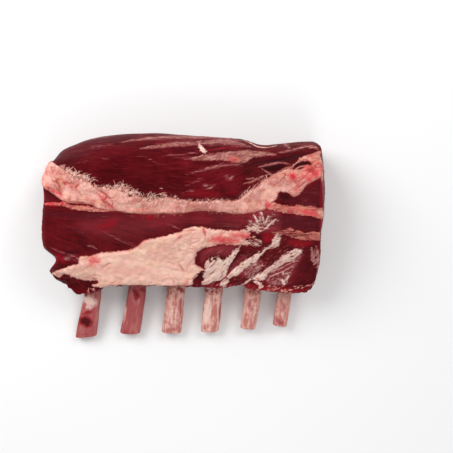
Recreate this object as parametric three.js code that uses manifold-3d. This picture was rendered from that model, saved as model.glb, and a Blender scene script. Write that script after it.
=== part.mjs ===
// A raw beef rib roast: one block of meat on six ribs, with its seam of fat and its fat cover.
// The ribs run right through under the meat, and their scraped ends stand out of its front.
//
// Millimetres, +Z up. The origin is on the table under the middle of the roast, +X runs
// along the backbone from one cut face to the other, and the bare ribs point along -Y.

import * as THREE from 'three';
import { LoftGeometry } from 'three/addons/geometries/LoftGeometry.js';
import { mergeVertices } from 'three/addons/utils/BufferGeometryUtils.js';
import Module from 'manifold-3d';

const wasm = await Module();
wasm.setup();

// ---- Driving dimensions ----------------------------------------------------------------

const LENGTH = 380; // of the meat, cut face to cut face
const CROWN_HEIGHT = 112; // of the eye muscle above the table, before its back is rounded off
const FRONT_HEIGHT = 58; // of the meat above the table where the ribs leave it
const SIDE_LEVEL = 48; // the height at which the block is widest
const RIB_RISE = 25; // of a rib's middle above its two ends
const RIB_REST = 6; // of a rib's centre line above the table at its ends
const RIB_SPAN = 133; // half of a rib's reach, from the middle of its arch
const RIB_ARCH_Y = -6; // where the arch is highest
const SEAM_DEPTH = 16; // the fat between the two muscles, from the surface down
const COVER_SUNK = 3; // how deep the fat cover lies in the meat
const COVER_PROUD = 2.5; // and how far it stands above it
const GAP = 0.3; // between two pieces that touch
const FACET = 0.04; // how far a surface may move where slivers of facets are merged
const SAME_PLACE = 0.001; // corners of a geometry that are nearer than this are one

// ---- Curves and outlines ---------------------------------------------------------------

const lerp = THREE.MathUtils.lerp;
const smooth = THREE.MathUtils.smoothstep;
const hump = (x, middle, width) => Math.exp(-(((x - middle) / width) ** 2));

// A smooth function through points in the order of their first value, level past both ends.
function through(points) {
  const last = points.length - 1;
  const slope = (i) => {
    const [x0, y0] = points[Math.max(i - 1, 0)];
    const [x1, y1] = points[Math.min(i + 1, last)];
    return (y1 - y0) / (x1 - x0);
  };
  return (x) => {
    if (x <= points[0][0]) return points[0][1];
    if (x >= points[last][0]) return points[last][1];
    const i = points.findIndex(([px]) => px > x) - 1;
    const [x0, y0] = points[i];
    const [x1, y1] = points[i + 1];
    const w = x1 - x0;
    const t = (x - x0) / w;
    const t2 = t * t;
    const t3 = t2 * t;
    return (
      y0 * (2 * t3 - 3 * t2 + 1) + slope(i) * w * (t3 - 2 * t2 + t) +
      y1 * (3 * t2 - 2 * t3) + slope(i + 1) * w * (t3 - t2)
    );
  };
}

// The four sides of the block seen from above, at its widest level. The two long sides are
// y at an x, and the two cut faces are x at a y.
const backEdge = through([
  [-190, 98], [-179, 106], [-162, 120], [-138, 130], [-106, 138], [-58, 141], [-22, 141],
  [21, 137], [79, 133], [103, 126], [124, 127], [177, 131], [189, 128],
]);
const frontEdge = through([
  [-190, -40], [-172, -58], [-165, -66], [-155, -73], [-142, -75], [-121, -73], [-107, -67],
  [-80, -62], [-38, -63], [13, -64], [53, -66], [74, -61], [85, -67], [125, -71], [165, -72],
  [189, -62],
]);
const leftFace = through([
  [-76, -158], [-66, -166], [-47, -180], [-38, -182], [-19, -182], [-2, -188], [18, -190],
  [44, -189], [58, -186], [68, -189], [82, -186], [98, -180], [110, -172],
]);
const rightFace = through([
  [-72, 166], [-60, 175], [-26, 180], [11, 183], [27, 188], [53, 189], [80, 188],
  [120, 185], [131, 179],
]);
const SLANT = 15; // how far a cut face leans in from its widest level to its top
const SLANT_STARTS = [-30, 30]; // it is upright at the first y, and leans fully from the second

// The height of the meat over its own depth, from the front edge at 0 to the back at 1,
// and how that height eases off towards both cut faces.
const crownProfile = through([
  [0, FRONT_HEIGHT], [0.15, 68], [0.35, 87], [0.5, 98], [0.65, 107], [0.8, CROWN_HEIGHT],
  [0.92, 108], [1, 102],
]);
const swell = through([[-189, 0.91], [-120, 0.99], [-30, 1.01], [80, 1], [189, 0.93]]);

// The line where the eye muscle meets the one beside it, as y at an x.
const seamLine = through([[-189, 62], [-110, 52], [-51, 40], [60, 41], [120, 56], [189, 64]]);

const VALLEY = { depth: 4, width: 10 }; // the dip along that line
const LOWER_MUSCLE = { rise: 2.5, beyond: 30, width: 18, fades: [-20, 60] }; // in front of it

// A lobe of dark meat hangs lower than the rest at the front left corner.
const LOBE = { drop: 14, acrossX: [-128, -104], acrossY: [-60, -42] };
const lobe = (x, y) =>
  LOBE.drop * (1 - smooth(x, ...LOBE.acrossX)) * (1 - smooth(y, ...LOBE.acrossY));

// The height of the top at a place that is this share of the way from front to back.
function crown(x, y, share) {
  const valley = VALLEY.depth * hump(y, seamLine(x), VALLEY.width);
  const muscle = LOWER_MUSCLE.rise * (1 - smooth(x, ...LOWER_MUSCLE.fades))
    * hump(y, seamLine(x) - LOWER_MUSCLE.beyond, LOWER_MUSCLE.width);
  return crownProfile(share) * swell(x) - valley + muscle - lobe(x, y);
}

// The centre line of every rib, as a height over y: a shallow arch that rests on its ends.
function ribHeight(y) {
  const t = Math.min(Math.abs(y - RIB_ARCH_Y) / RIB_SPAN, 1);
  return RIB_REST + RIB_RISE * (1 - t * t);
}

// The underside follows the ribs and lets them stand a little proud. Its back edge is a
// heel that presses down on the table.
const RIB_PROUD = 4;
const HEEL = { press: 3, acrossY: [82, 112] };
const underside = (y) =>
  lerp(ribHeight(y) - RIB_PROUD, -HEEL.press, smooth(y, ...HEEL.acrossY));

// ---- Solids ----------------------------------------------------------------------------

// A closed geometry as a manifold-3d solid, and the reverse.
function solidOf(geometry) {
  const bare = geometry.index ? geometry.toNonIndexed() : geometry.clone();
  bare.deleteAttribute('normal');
  bare.deleteAttribute('uv');
  const shared = mergeVertices(bare, SAME_PLACE);
  return new wasm.Manifold(new wasm.Mesh({
    numProp: 3,
    vertProperties: shared.attributes.position.array,
    triVerts: new Uint32Array(shared.index.array),
  }));
}

function geometryOf(solid) {
  const { vertProperties, triVerts } = solid.simplify(FACET).getMesh();
  const geometry = new THREE.BufferGeometry();
  geometry.setAttribute('position', new THREE.BufferAttribute(vertProperties, 3));
  geometry.setIndex(new THREE.BufferAttribute(triVerts, 1));
  geometry.computeVertexNormals();
  return geometry;
}

// ---- The block of meat -----------------------------------------------------------------

const AROUND = 36; // points round one section of the block
const STATIONS = 32; // sections along it
const FACE_RINGS = [0.3, 0.65, 0.94]; // of points on a cut face, as shares of its section
const EDGE_RING = { along: 0.0054, reach: 0.98 }; // of points on its rounded edge
const EDGE_ROUND = 0.018; // that edge's length, as a share of the block's
const RUN_ON = 0.05; // how far a cutting block runs past the cut faces, the same
const BACK_ROUND = 2.6; // the exponents of the section's superellipse: 2 is an ellipse,
const FRONT_ROUND = 5; // and a large one is a box
const FOOT_ROUND = 6;
const SETTLING_ROUNDS = 5; // in which a section's place and a long side's y agree

// Where a long side meets the section at a share of the way along. The place along the side
// follows from its y, and its y from that place, so the two settle in a few rounds.
function meet(side, along) {
  let y = side(lerp(-LENGTH / 2, LENGTH / 2, along));
  for (let round = 0; round < SETTLING_ROUNDS; round += 1) {
    y = side(lerp(leftFace(y), rightFace(y), along));
  }
  return y;
}

// One section. reach shrinks it about its middle, drop lowers its top, and grow widens the
// rest of it.
function blockSection(along, reach, drop, grow) {
  const front = meet(frontEdge, along) - grow;
  const back = meet(backEdge, along) + grow;
  const middle = (front + back) / 2;
  return Array.from({ length: AROUND }, (_, i) => {
    const turn = (2 * Math.PI * i) / AROUND;
    const across = Math.cos(turn);
    const up = Math.sin(turn) >= 0;
    const exponent = up ? (across > 0 ? BACK_ROUND : FRONT_ROUND) : FOOT_ROUND;
    const rise = (1 - Math.abs(across) ** exponent) ** (1 / exponent);
    const fullY = middle + ((back - front) / 2) * across;
    const fullX = lerp(leftFace(fullY), rightFace(fullY), along);
    const share = (fullY - front) / (back - front);
    const edge = up ? crown(fullX, fullY, share) - drop : underside(fullY) - grow;
    const fullZ = SIDE_LEVEL + (edge - SIDE_LEVEL) * rise;
    const y = lerp(middle, fullY, reach);
    const z = lerp(SIDE_LEVEL, fullZ, reach);
    const heightShare = Math.max(0, (z - SIDE_LEVEL) / (CROWN_HEIGHT - SIDE_LEVEL));
    const lean = SLANT * heightShare * smooth(y, ...SLANT_STARTS) * (1 - 2 * along);
    return new THREE.Vector3(lerp(leftFace(y), rightFace(y), along) + lean, y, z);
  });
}

// past is how far the block runs on past its cut faces, as a share of its length.
function blockSolid({ drop = 0, grow = 0, past = 0 } = {}) {
  const end = [...FACE_RINGS.map((reach) => [0, reach]), [EDGE_RING.along, EDGE_RING.reach]];
  const length = Array.from({ length: STATIONS }, (_, i) => [
    lerp(EDGE_ROUND, 1 - EDGE_ROUND, i / (STATIONS - 1)), 1,
  ]);
  const otherEnd = end.map(([along, reach]) => [1 - along, reach]).reverse();
  const sections = [...end, ...length, ...otherEnd].map(([along, reach]) =>
    blockSection(lerp(-past, 1 + past, along), reach, drop, grow));
  return solidOf(new LoftGeometry(sections, { capStart: true, capEnd: true }));
}

const CURVE_STEPS = 3; // points on the curve for each corner of an outline

// An upright prism over an outline in plan, each point of which is moved in by inset.
function prism(outline, inset) {
  const points = new THREE.SplineCurve(
    [...outline, outline[0]].map(([x, y]) => new THREE.Vector2(x, y)),
  ).getPoints(outline.length * CURVE_STEPS).slice(1);
  const moved = points.map((point, i) => {
    const before = points[(i + points.length - 1) % points.length];
    const after = points[(i + 1) % points.length];
    const inwards = new THREE.Vector2(before.y - after.y, after.x - before.x).normalize();
    return point.clone().addScaledVector(inwards, inset);
  });
  return solidOf(new THREE.ExtrudeGeometry(new THREE.Shape(moved), {
    depth: CROWN_HEIGHT * 2, bevelEnabled: false,
  }));
}

// ---- Fat -------------------------------------------------------------------------------

// Outlines in plan, anticlockwise. The seam runs past both cut faces, and forks round a
// wedge of dark meat at the right.
const SEAM_OUTLINE = [
  [-210, 84], [-177, 69], [-155, 53], [-123, 43], [-89, 38], [-51, 32], [-2, 34], [51, 34],
  [102, 36], [137, 32], [183, 26], [210, 22], [210, 37], [181, 38], [150, 44], [125, 54],
  [153, 65], [177, 75], [210, 80], [210, 112], [179, 107], [162, 105], [139, 92], [109, 77],
  [86, 60], [69, 50], [23, 48], [-21, 51], [-53, 51], [-81, 59], [-106, 65], [-135, 76],
  [-144, 86], [-167, 100], [-210, 122],
];
const COVER_OUTLINE = [
  [-161, -46], [-142, -52], [-123, -60], [-116, -72], [-70, -76], [-20, -76], [11, -72],
  [22, -43], [17, -30], [22, -14], [32, 4], [27, 16], [3, 13], [-23, 4], [-45, 2],
  [-62, -11], [-81, -15], [-110, -20], [-133, -22], [-154, -37],
];

// All of the block that lies deeper than this under its top, run on past its cut faces.
const deeperThan = (depth) => blockSolid({ drop: depth, grow: 1, past: RUN_ON });

// A layer of the block's top over an outline, and the recess that it lies in.
const layer = (outline, depth, proud) =>
  blockSolid({ drop: -proud }).intersect(prism(outline, GAP)).subtract(deeperThan(depth));
const recess = (outline, depth) => prism(outline, 0).subtract(deeperThan(depth + GAP));

const seamSolid = layer(SEAM_OUTLINE, SEAM_DEPTH, 0);
const coverSolid = layer(COVER_OUTLINE, COVER_SUNK, COVER_PROUD);
const seamRecess = recess(SEAM_OUTLINE, SEAM_DEPTH);
const coverRecess = recess(COVER_OUTLINE, COVER_SUNK);

// ---- Ribs ------------------------------------------------------------------------------

// Each rib's sawn tip, the place where it leaves the meat, and where its root is sawn off
// at the back, in plan, with its width at the tip and where it leaves the meat. slant is
// how much further the left corner of the tip reaches than the right one.
const RIBS = [
  { tip: [-141, -137], exit: [-128, -74], root: [-104, 131], tipWidth: 31, width: 24, slant: 3.5 },
  { tip: [-79, -132], exit: [-66, -66], root: [-46, 135], tipWidth: 29, width: 25, slant: 1.2 },
  { tip: [-21, -131], exit: [-13, -70], root: [6, 133], tipWidth: 29, width: 25, slant: 0.6 },
  { tip: [33, -129], exit: [39, -70], root: [58, 129], tipWidth: 26, width: 25, slant: 1 },
  { tip: [86, -125], exit: [93, -70], root: [108, 121], tipWidth: 22, width: 24, slant: 0 },
  { tip: [130, -121], exit: [137, -70], root: [150, 124], tipWidth: 21, width: 20, slant: -1 },
];
const RIB_THICKNESS = 13; // of the scraped part
const ROOT_THICKNESS = 18;
const ROOT_WIDTH = 20;
const RIB_ROUND = 2.6; // the exponent of a rib's section
const RIB_STATIONS = 11;
const RIB_AROUND = 12;
const BED_PAST = 20; // how far a rib's bed runs on behind its root, out of the back

// grow makes the rib thicker all round and past runs it on beyond its root, to cut its bed
// out of the meat.
function ribGeometry({ tip, exit, root, tipWidth, width, slant }, grow = 0, past = 0) {
  const centreX = through([tip, exit, root].map(([x, y]) => [y, x]));
  const halfWidth = through([[tip[1], tipWidth / 2], [exit[1], width / 2], [root[1], ROOT_WIDTH / 2]]);
  const halfThick = through([
    [tip[1], RIB_THICKNESS / 2], [exit[1], RIB_THICKNESS / 2], [root[1], ROOT_THICKNESS / 2],
  ]);
  const centre = (y) => new THREE.Vector3(centreX(y), y, ribHeight(y));
  const stations = Array.from({ length: RIB_STATIONS }, (_, i) =>
    lerp(tip[1], root[1], i / (RIB_STATIONS - 1)));
  if (past > 0) stations.push(root[1] + past);
  const sections = stations.map((y, i) => {
    const tangent = centre(y + 1).sub(centre(y - 1)).normalize();
    const side = new THREE.Vector3().crossVectors(tangent, new THREE.Vector3(0, 0, 1)).normalize();
    const up = new THREE.Vector3().crossVectors(side, tangent);
    const slope = i === 0 ? slant : 0;
    return Array.from({ length: RIB_AROUND }, (_, j) => {
      const turn = (2 * Math.PI * j) / RIB_AROUND;
      const power = (value) => Math.sign(value) * Math.abs(value) ** (2 / RIB_ROUND);
      const across = power(Math.cos(turn));
      const rise = power(Math.sin(turn));
      return centre(y)
        .addScaledVector(side, -across * (halfWidth(y) + grow))
        .addScaledVector(up, rise * (halfThick(y) + grow))
        .addScaledVector(tangent, -across * slope);
    });
  });
  return new LoftGeometry(sections, { capStart: true, capEnd: true });
}

// What would reach below the table is pressed flat on it.
const aboveTable = solidOf(new THREE.BoxGeometry(LENGTH * 2, LENGTH * 2, LENGTH)
  .translate(0, 0, LENGTH / 2));
const ribSolids = RIBS.map((rib) => solidOf(ribGeometry(rib)).intersect(aboveTable));
const ribBeds = RIBS.map((rib) => solidOf(ribGeometry(rib, GAP, BED_PAST)));

const meatSolid = [seamRecess, coverRecess, ...ribBeds].reduce(
  (meat, cut) => meat.subtract(cut), blockSolid().intersect(aboveTable));

// ---- The roast -------------------------------------------------------------------------

const red = new THREE.MeshStandardMaterial({ color: 0x6a1f25, roughness: 0.42, metalness: 0 });
const fat = new THREE.MeshStandardMaterial({ color: 0xdfa796, roughness: 0.5, metalness: 0 });
const bone = new THREE.MeshStandardMaterial({ color: 0xc69386, roughness: 0.55, metalness: 0 });

const roast = new THREE.Group();
roast.name = 'rib_roast';

function add(name, solid, material) {
  const mesh = new THREE.Mesh(geometryOf(solid), material);
  mesh.name = name;
  roast.add(mesh);
}

add('meat', meatSolid, red);
add('fat_seam', seamSolid, fat);
add('fat_cover', coverSolid, fat);
ribSolids.forEach((solid, i) => add(`rib_${i + 1}`, solid, bone));

// The outlines above are a little off the middle, which is moved onto the origin.
const middle = new THREE.Box3().setFromObject(roast).getCenter(new THREE.Vector3());
roast.position.set(-middle.x, -middle.y, 0);

export default roast;
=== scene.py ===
import math
import random
from functools import partial

import bmesh
import bpy
import numpy as np
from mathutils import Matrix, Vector, noise
from mathutils.bvhtree import BVHTree


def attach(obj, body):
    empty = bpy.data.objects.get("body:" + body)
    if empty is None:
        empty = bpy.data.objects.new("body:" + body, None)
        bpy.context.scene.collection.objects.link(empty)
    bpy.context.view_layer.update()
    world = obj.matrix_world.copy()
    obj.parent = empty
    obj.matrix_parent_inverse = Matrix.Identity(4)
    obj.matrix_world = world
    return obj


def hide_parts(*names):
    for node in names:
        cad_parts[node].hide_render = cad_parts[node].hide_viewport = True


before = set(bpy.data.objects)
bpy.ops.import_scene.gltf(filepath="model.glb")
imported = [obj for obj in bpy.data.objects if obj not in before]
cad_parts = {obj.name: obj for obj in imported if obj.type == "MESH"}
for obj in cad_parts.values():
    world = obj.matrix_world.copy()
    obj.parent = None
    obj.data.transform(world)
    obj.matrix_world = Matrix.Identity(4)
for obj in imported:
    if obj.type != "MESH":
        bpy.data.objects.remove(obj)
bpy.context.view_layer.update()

# ---- The view ---------------------------------------------------------------------------
# The roast is looked at from straight above its table, from a little to the right of its
# middle.

EYE = Vector((0.05665, 0.0159, 0.950))
FIELD_OF_VIEW = math.radians(37.27)

camera = bpy.data.objects.new("camera", bpy.data.cameras.new("camera"))
camera.data.angle = FIELD_OF_VIEW
camera.location = EYE
bpy.context.collection.objects.link(camera)
bpy.context.scene.camera = camera
bpy.context.scene.view_settings.view_transform = "Standard"


# ---- The meat ---------------------------------------------------------------------------
# One block of raw muscle, cut off square at both ends between two ribs. The eye muscle runs
# along its back, with silverskin on it, and the flatter muscles over the ribs lie in front.
# Its own surface is wavy, with a fine grain of fibres that turns from muscle to muscle.

MEAT_VOXEL = 0.00178
MEAT_SMOOTHING = 24
GAP_CLOSED = 0.0002  # how far the fat grows to meet the meat round it
UNDER_TOP = 0.036  # everything higher than this belongs to the top
TOP_EDGE = 0.004  # half of the height over which that changes


def merged(node):
    """A CAD node's mesh with its doubled corners merged."""
    shape = bmesh.new()
    shape.from_mesh(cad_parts[node].data)
    bmesh.ops.remove_doubles(shape, verts=shape.verts, dist=1e-6)
    shape.normal_update()
    return shape


def new_piece(name, shape):
    """An object in the scene from a bmesh, which it frees."""
    mesh = bpy.data.meshes.new(name)
    shape.to_mesh(mesh)
    shape.free()
    piece = bpy.data.objects.new(name, mesh)
    bpy.context.collection.objects.link(piece)
    return piece


def finish_with(piece, *modifiers):
    """Applies modifiers, each given as its type and its settings."""
    for kind, settings in modifiers:
        modifier = piece.modifiers.new(kind.lower(), kind)
        for setting, value in settings.items():
            setattr(modifier, setting, value)
    graph = bpy.context.evaluated_depsgraph_get()
    finished = bpy.data.meshes.new_from_object(piece.evaluated_get(graph))
    piece.modifiers.clear()
    piece.data = finished


def remesh(piece, voxel, rounds):
    """Gives a piece an even fine mesh, smoothed in a few rounds."""
    finish_with(
        piece,
        ("REMESH", {"mode": "VOXEL", "voxel_size": voxel}),
        ("SMOOTH", {"factor": 0.5, "iterations": rounds}),
    )


def places_of(mesh):
    """Where a mesh's vertices are, and their normals, as two arrays."""
    places = np.empty((len(mesh.vertices), 3), np.float32)
    normals = np.empty((len(mesh.vertices), 3), np.float32)
    mesh.vertices.foreach_get("co", places.ravel())
    mesh.vertices.foreach_get("normal", normals.ravel())
    return places.astype(float), normals.astype(float)


def move_to(mesh, places):
    mesh.vertices.foreach_set("co", places.astype(np.float32).ravel())
    mesh.update()


def store(mesh, **fields):
    """Writes numbers or vectors, one per vertex, which a material reads by their name."""
    for name, values in fields.items():
        kind, part = ("FLOAT", "value") if values.ndim == 1 else ("FLOAT_VECTOR", "vector")
        layer = mesh.attributes.new(name, kind, "POINT")
        layer.data.foreach_set(part, values.astype(np.float32).ravel())


def bumps(places, size, seed=0.0):
    """Soft noise from -1 to 1 at each place. size is that of one bump, or its three sizes."""
    return np.array([noise.noise(place) for place in (places / size + seed).tolist()])


def eased(values, low, high):
    """0 below low, 1 above high, with a soft step between them."""
    share = np.clip((values - low) / (high - low), 0, 1)
    return share * share * (3 - 2 * share)


# A line or an outline on the roast is drawn in plan, in millimetres: where the line from the
# eye above the table through a place on the roast meets the table.
FAR = 0.015  # how far off a line or an outline is measured


def in_plan(places):
    """Where each place is in plan, in metres."""
    eye = np.array(EYE)
    share = eye[2] / (eye[2] - places[:, 2:])
    return eye[:2] + (places[:, :2] - eye[:2]) * share


def curve(points, closed=True, steps=4):
    """A smooth run of places through points given in millimetres."""
    corners = np.array(points, float) / 1000
    count = len(corners)
    run = []
    for i in range(count if closed else count - 1):
        around = [(i + k) % count if closed else min(max(i + k, 0), count - 1)
                  for k in (-1, 0, 1, 2)]
        a, b, c, d = corners[around]
        for t in np.arange(steps) / steps:
            run.append(b + 0.5 * t * (c - a + t * (2 * a - 5 * b + 4 * c - d
                       + t * (3 * (b - c) + d - a))))
    return np.array(run if closed else run + [corners[-1]])


def nearest_on(places, start, end):
    """How far each place is from the stretch between two others, and where along it."""
    along = end - start
    share = np.clip((places - start) @ along / max(along @ along, 1e-12), 0, 1)
    return np.linalg.norm(places - start - np.outer(share, along), axis=1), share


def depth_inside(plan, points):
    """How far each place in plan lies inside an outline, in metres; outside it is negative."""
    outline = curve(points)
    depth = np.full(len(plan), -FAR)
    close = np.all((plan > outline.min(0) - FAR) & (plan < outline.max(0) + FAR), axis=1)
    places = plan[close]
    nearest = np.full(len(places), np.inf)
    inside = np.zeros(len(places), bool)
    for start, end in zip(outline, np.roll(outline, -1, axis=0)):
        nearest = np.minimum(nearest, nearest_on(places, start, end)[0])
        crosses = (start[1] > places[:, 1]) != (end[1] > places[:, 1])
        slope = (end[0] - start[0]) / ((end[1] - start[1]) or 1)
        inside ^= crosses & (places[:, 0] < start[0] + slope * (places[:, 1] - start[1]))
    depth[close] = np.where(inside, nearest, -np.minimum(nearest, FAR))
    return depth


BLUNT = 0.04  # how much of a line's taper is left out at each of its ends


def line_depth(plan, half_width, points):
    """How far each place in plan lies inside a line that tapers to both ends, in metres."""
    run = curve(points, closed=False)
    depth = np.full(len(plan), -FAR)
    close = np.all((plan > run.min(0) - FAR) & (plan < run.max(0) + FAR), axis=1)
    places = plan[close]
    best = np.full(len(places), -FAR)
    for i, (start, end) in enumerate(zip(run, run[1:])):
        away, share = nearest_on(places, start, end)
        along = np.clip((i + share) / (len(run) - 1), BLUNT, 1 - BLUNT)
        taper = np.sin(math.pi * along) ** 0.5
        best = np.maximum(best, half_width * taper / 1000 - away)
    depth[close] = best
    return depth


def depth_of(plan, outlines=(), lines=()):
    """How far each place in plan lies inside the nearest of some outlines and lines."""
    depths = [depth_inside(plan, outline) for outline in outlines]
    depths += [line_depth(plan, half_width, line) for half_width, line in lines]
    return np.maximum.reduce(depths)


def marks(plan, lines):
    """1 on strong lines, down to 0 off all of them. Each has its half width, its strength
    and its points."""
    values = [strength * np.clip(line_depth(plan, 2 * half_width, line) * 500 / half_width, 0, 1)
              for half_width, strength, line in lines]
    return np.maximum.reduce(values)


def sheets(plan, outlines, edge):
    """1 inside outlines and 0 outside them, over an edge this many millimetres wide."""
    return eased(depth_of(plan, outlines) * 1000, -edge / 2, edge / 2)


block = bmesh.new()
for node in ("meat", "fat_seam", "fat_cover"):
    layer = merged(node)
    if node != "meat":
        for vert in layer.verts:
            vert.co += GAP_CLOSED * vert.normal
    grown = bpy.data.meshes.new(node + "_grown")
    layer.to_mesh(grown)
    layer.free()
    block.from_mesh(grown)
muscle = new_piece("muscle", block)
remesh(muscle, MEAT_VOXEL, MEAT_SMOOTHING)

# The fat lies inside these outlines, and the meat dips towards its edges.
SEAM = [
    (-217, 116), (-193, 108), (-170, 94), (-158, 86), (-139, 79), (-127, 72), (-101, 69),
    (-91, 70), (-76, 63), (-66, 58), (-52, 53), (-29, 57), (-9, 54), (19, 51), (47, 53),
    (70, 53), (80, 59), (90, 68), (101, 72), (107, 79), (118, 86), (132, 93), (144, 99),
    (151, 103), (163, 114), (175, 118), (192, 124), (210, 127), (210, 88), (193, 86),
    (180, 81), (168, 73), (161, 63), (152, 58), (146, 62), (139, 64), (131, 64), (128, 56),
    (121, 49), (110, 40), (90, 35), (69, 34), (50, 36), (19, 38), (-9, 35), (-63, 34),
    (-80, 35), (-91, 37), (-105, 39), (-125, 41), (-139, 48), (-165, 49), (-175, 53),
    (-183, 58), (-193, 65), (-204, 73), (-221, 79),
]
SLIT = [(151, 97), (156, 102), (164, 105), (172, 106), (177, 103)]  # it is torn open near its right end
SLIT_BELOW = [(157, 97), (161, 98), (167, 100)]
NOTCH = [(-79, 65), (-79, 59)]  # in its upper edge at the left
SEAM_HOLES = [  # half width and line of each hole torn through it
    (2.8, SLIT),
    (1.3, SLIT_BELOW),
    (3.0, NOTCH),
    (1.5, [(-91, 66), (-86, 65)]),
]
FORK = [
    (112, 48), (122, 50), (134, 47), (150, 46), (175, 45), (192, 43), (212, 40), (212, 22),
    (196, 25), (175, 30), (146, 34), (125, 38), (112, 42),
]
COVER = [
    (-172, -43), (-162, -39), (-153, -37), (-151, -27), (-136, -26), (-125, -22), (-94, -19),
    (-80, -17), (-69, -12), (-63, -6), (-54, -2), (-33, 2), (-12, 7), (2, 14), (12, 15),
    (23, 15), (35, 12), (46, 12), (60, 10), (73, 10), (84, 9), (93, 8), (90, 3), (98, 1),
    (106, -4), (104, -10), (94, -11), (82, -10), (68, -10), (54, -9), (40, -10), (29, -13),
    (18, -18), (14, -22), (12, -34), (15, -40), (22, -43),
    (27, -46), (20, -48), (10, -58), (6, -66), (-26, -68), (-59, -67), (-97, -67),
    (-122, -70), (-134, -67), (-124, -63), (-129, -60), (-143, -60), (-158, -56), (-173, -51),
    (-179, -56), (-186, -53), (-190, -50), (-182, -46),
]
STRIPS = [
    [(20, -65), (24, -58), (22, -51), (26, -44), (25, -37), (30, -31), (34, -34), (36, -28),
     (42, -34), (45, -27), (50, -31), (59, -26), (67, -18), (76, -12), (75, -18), (70, -26),
     (65, -33), (61, -41), (59, -47), (55, -54), (47, -61), (39, -62), (28, -67)],
    [(42, -67), (48, -62), (54, -58), (60, -58), (59, -64), (54, -69), (45, -68)],
    [(57, -56), (61, -49), (67, -43), (75, -38), (84, -32), (93, -26), (103, -20), (110, -15),
     (117, -12), (115, -17), (108, -23), (103, -28), (95, -38), (88, -42), (81, -46),
     (75, -51), (69, -55), (61, -58)],
    [(116, -14), (120, -8), (122, -2), (125, 3), (128, 7), (135, 8), (134, 0), (132, -8),
     (130, -13), (124, -14)],
    [(76, -67), (83, -61), (93, -56), (102, -51), (111, -45), (121, -38), (129, -31),
     (138, -24), (147, -18), (155, -15), (163, -17), (164, -22), (157, -27), (150, -33),
     (141, -36), (133, -40), (124, -45), (118, -50), (113, -57), (107, -61), (98, -60),
     (90, -61), (83, -66), (78, -69)],
    [(93, -62), (100, -61), (107, -64), (109, -70), (104, -72), (99, -68)],
    [(79, 11), (86, 15), (96, 15), (105, 12), (111, 10), (106, 7), (96, 7), (87, 6), (80, 7)],
    [(82, -7), (90, -2), (99, -2), (107, -6), (105, -11), (97, -12), (90, -10), (84, -11)],
    [(127, -57), (133, -59), (136, -55), (139, -60), (146, -50), (144, -59), (138, -67),
     (134, -62)],
    [(16, 139), (18, 134), (21, 131), (26, 127), (29, 121), (26, 118), (21, 121), (17, 127),
     (16, 133)],
]
PALE_BAND = [
    (119, 9), (129, 9), (140, 12), (149, 13), (158, 10), (170, 7), (180, 9), (190, 7),
    (189, -3), (176, -4), (164, -3), (153, -1), (143, 2), (134, 5), (125, 4),
]

# On a cut face the fat is where the CAD has it.
CUT_FACE = (0.7, 0.9)  # how far along X a normal points on the edge of a cut face, and on it
meat_walls, seam_walls = (
    BVHTree.FromBMesh(merged(node)) for node in ("meat", "fat_seam"))


def on_cut_face(normals):
    return eased(np.abs(normals[:, 0]), *CUT_FACE)


STEEP = (0.08, 0.28)  # how far up a normal points on a wall, and off it


def on_top_of(places, normals):
    """1 on the roast's top, 0 on its underside and on its steep front and back."""
    high = eased(places[:, 2], UNDER_TOP - TOP_EDGE, UNDER_TOP + TOP_EDGE)
    return high * eased(normals[:, 2], *STEEP)


FORK_END = [(187, 41), (212, 38), (212, 27), (187, 30)]


def seam_depth(places, normals, plan):
    """How far inside the seam of fat each place is, in metres: on the top by its outline."""
    depth = np.minimum(depth_of(plan, [SEAM, FORK_END]), -depth_of(plan, lines=SEAM_HOLES))
    depth = np.minimum(depth, (on_top_of(places, normals) - 0.5) * FAR)
    face = on_cut_face(normals)
    for i in np.flatnonzero(face > 0):
        place = Vector(places[i])
        inside = meat_walls.find_nearest(place)[3] - seam_walls.find_nearest(place)[3]
        depth[i] += (inside - depth[i]) * face[i]
    return depth


def top_depth(places, normals, plan, outlines, lines=()):
    """The same for outlines and lines that lie on the top only."""
    top = on_top_of(places, normals) * (1 - on_cut_face(normals))
    return np.minimum(depth_of(plan, outlines, lines), (top - 0.5) * FAR)


def turned(places, degrees):
    """Each place measured along a heading in plan, across it and upwards."""
    x, y = places[:, 0], places[:, 1]
    angle = np.radians(degrees)
    return np.stack([
        x * np.cos(angle) + y * np.sin(angle),
        y * np.cos(angle) - x * np.sin(angle),
        places[:, 2],
    ], axis=1)


GRAIN_TURNS = [  # how far the fibres turn, in degrees, and from which x and y to which
    (-25, (0.01, -0.05), (0.04, 0.0)),
    (38, (0.02, 0.06), (0.01, -0.02)),
    (11, (-0.01, 0.09), (0.05, 0.08)),
]
GRAIN_WAVE = (0.0035, 0.04)  # how far the fibres wave, and how long a wave is


def grain_of(places, plan):
    """Each place measured along the fibres, across them and upwards. They run along the
    backbone in the eye muscle, down to the right in the flat muscle at the left, and up to
    the right between the last ribs."""
    x, y = places[:, 0], places[:, 1]
    turn = sum(degrees * eased(plan[:, 0], *across) * eased(plan[:, 1], *up)
               for degrees, across, up in GRAIN_TURNS)
    wave = GRAIN_WAVE[0] * bumps(places, GRAIN_WAVE[1], seed=7.7)
    return turned(np.stack([x, y + wave, places[:, 2]], axis=1), turn)


COMB_HEADING = 58  # in degrees, above the seam
COMB_TURNS = [(30, 0.045, 0.040), (-46, 0.022, 0.014)]  # how far it turns from one y to another


def comb_of(places, plan):
    """Each place measured the way that torn fat is teased out: aslant from the seam's upper
    edge, straight down from its lower one, and along the knife's strokes in front."""
    turn = COMB_HEADING
    for degrees, start, end in COMB_TURNS:
        turn = turn + degrees * eased(plan[:, 1], start, end)
    return turned(places, turn)


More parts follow.
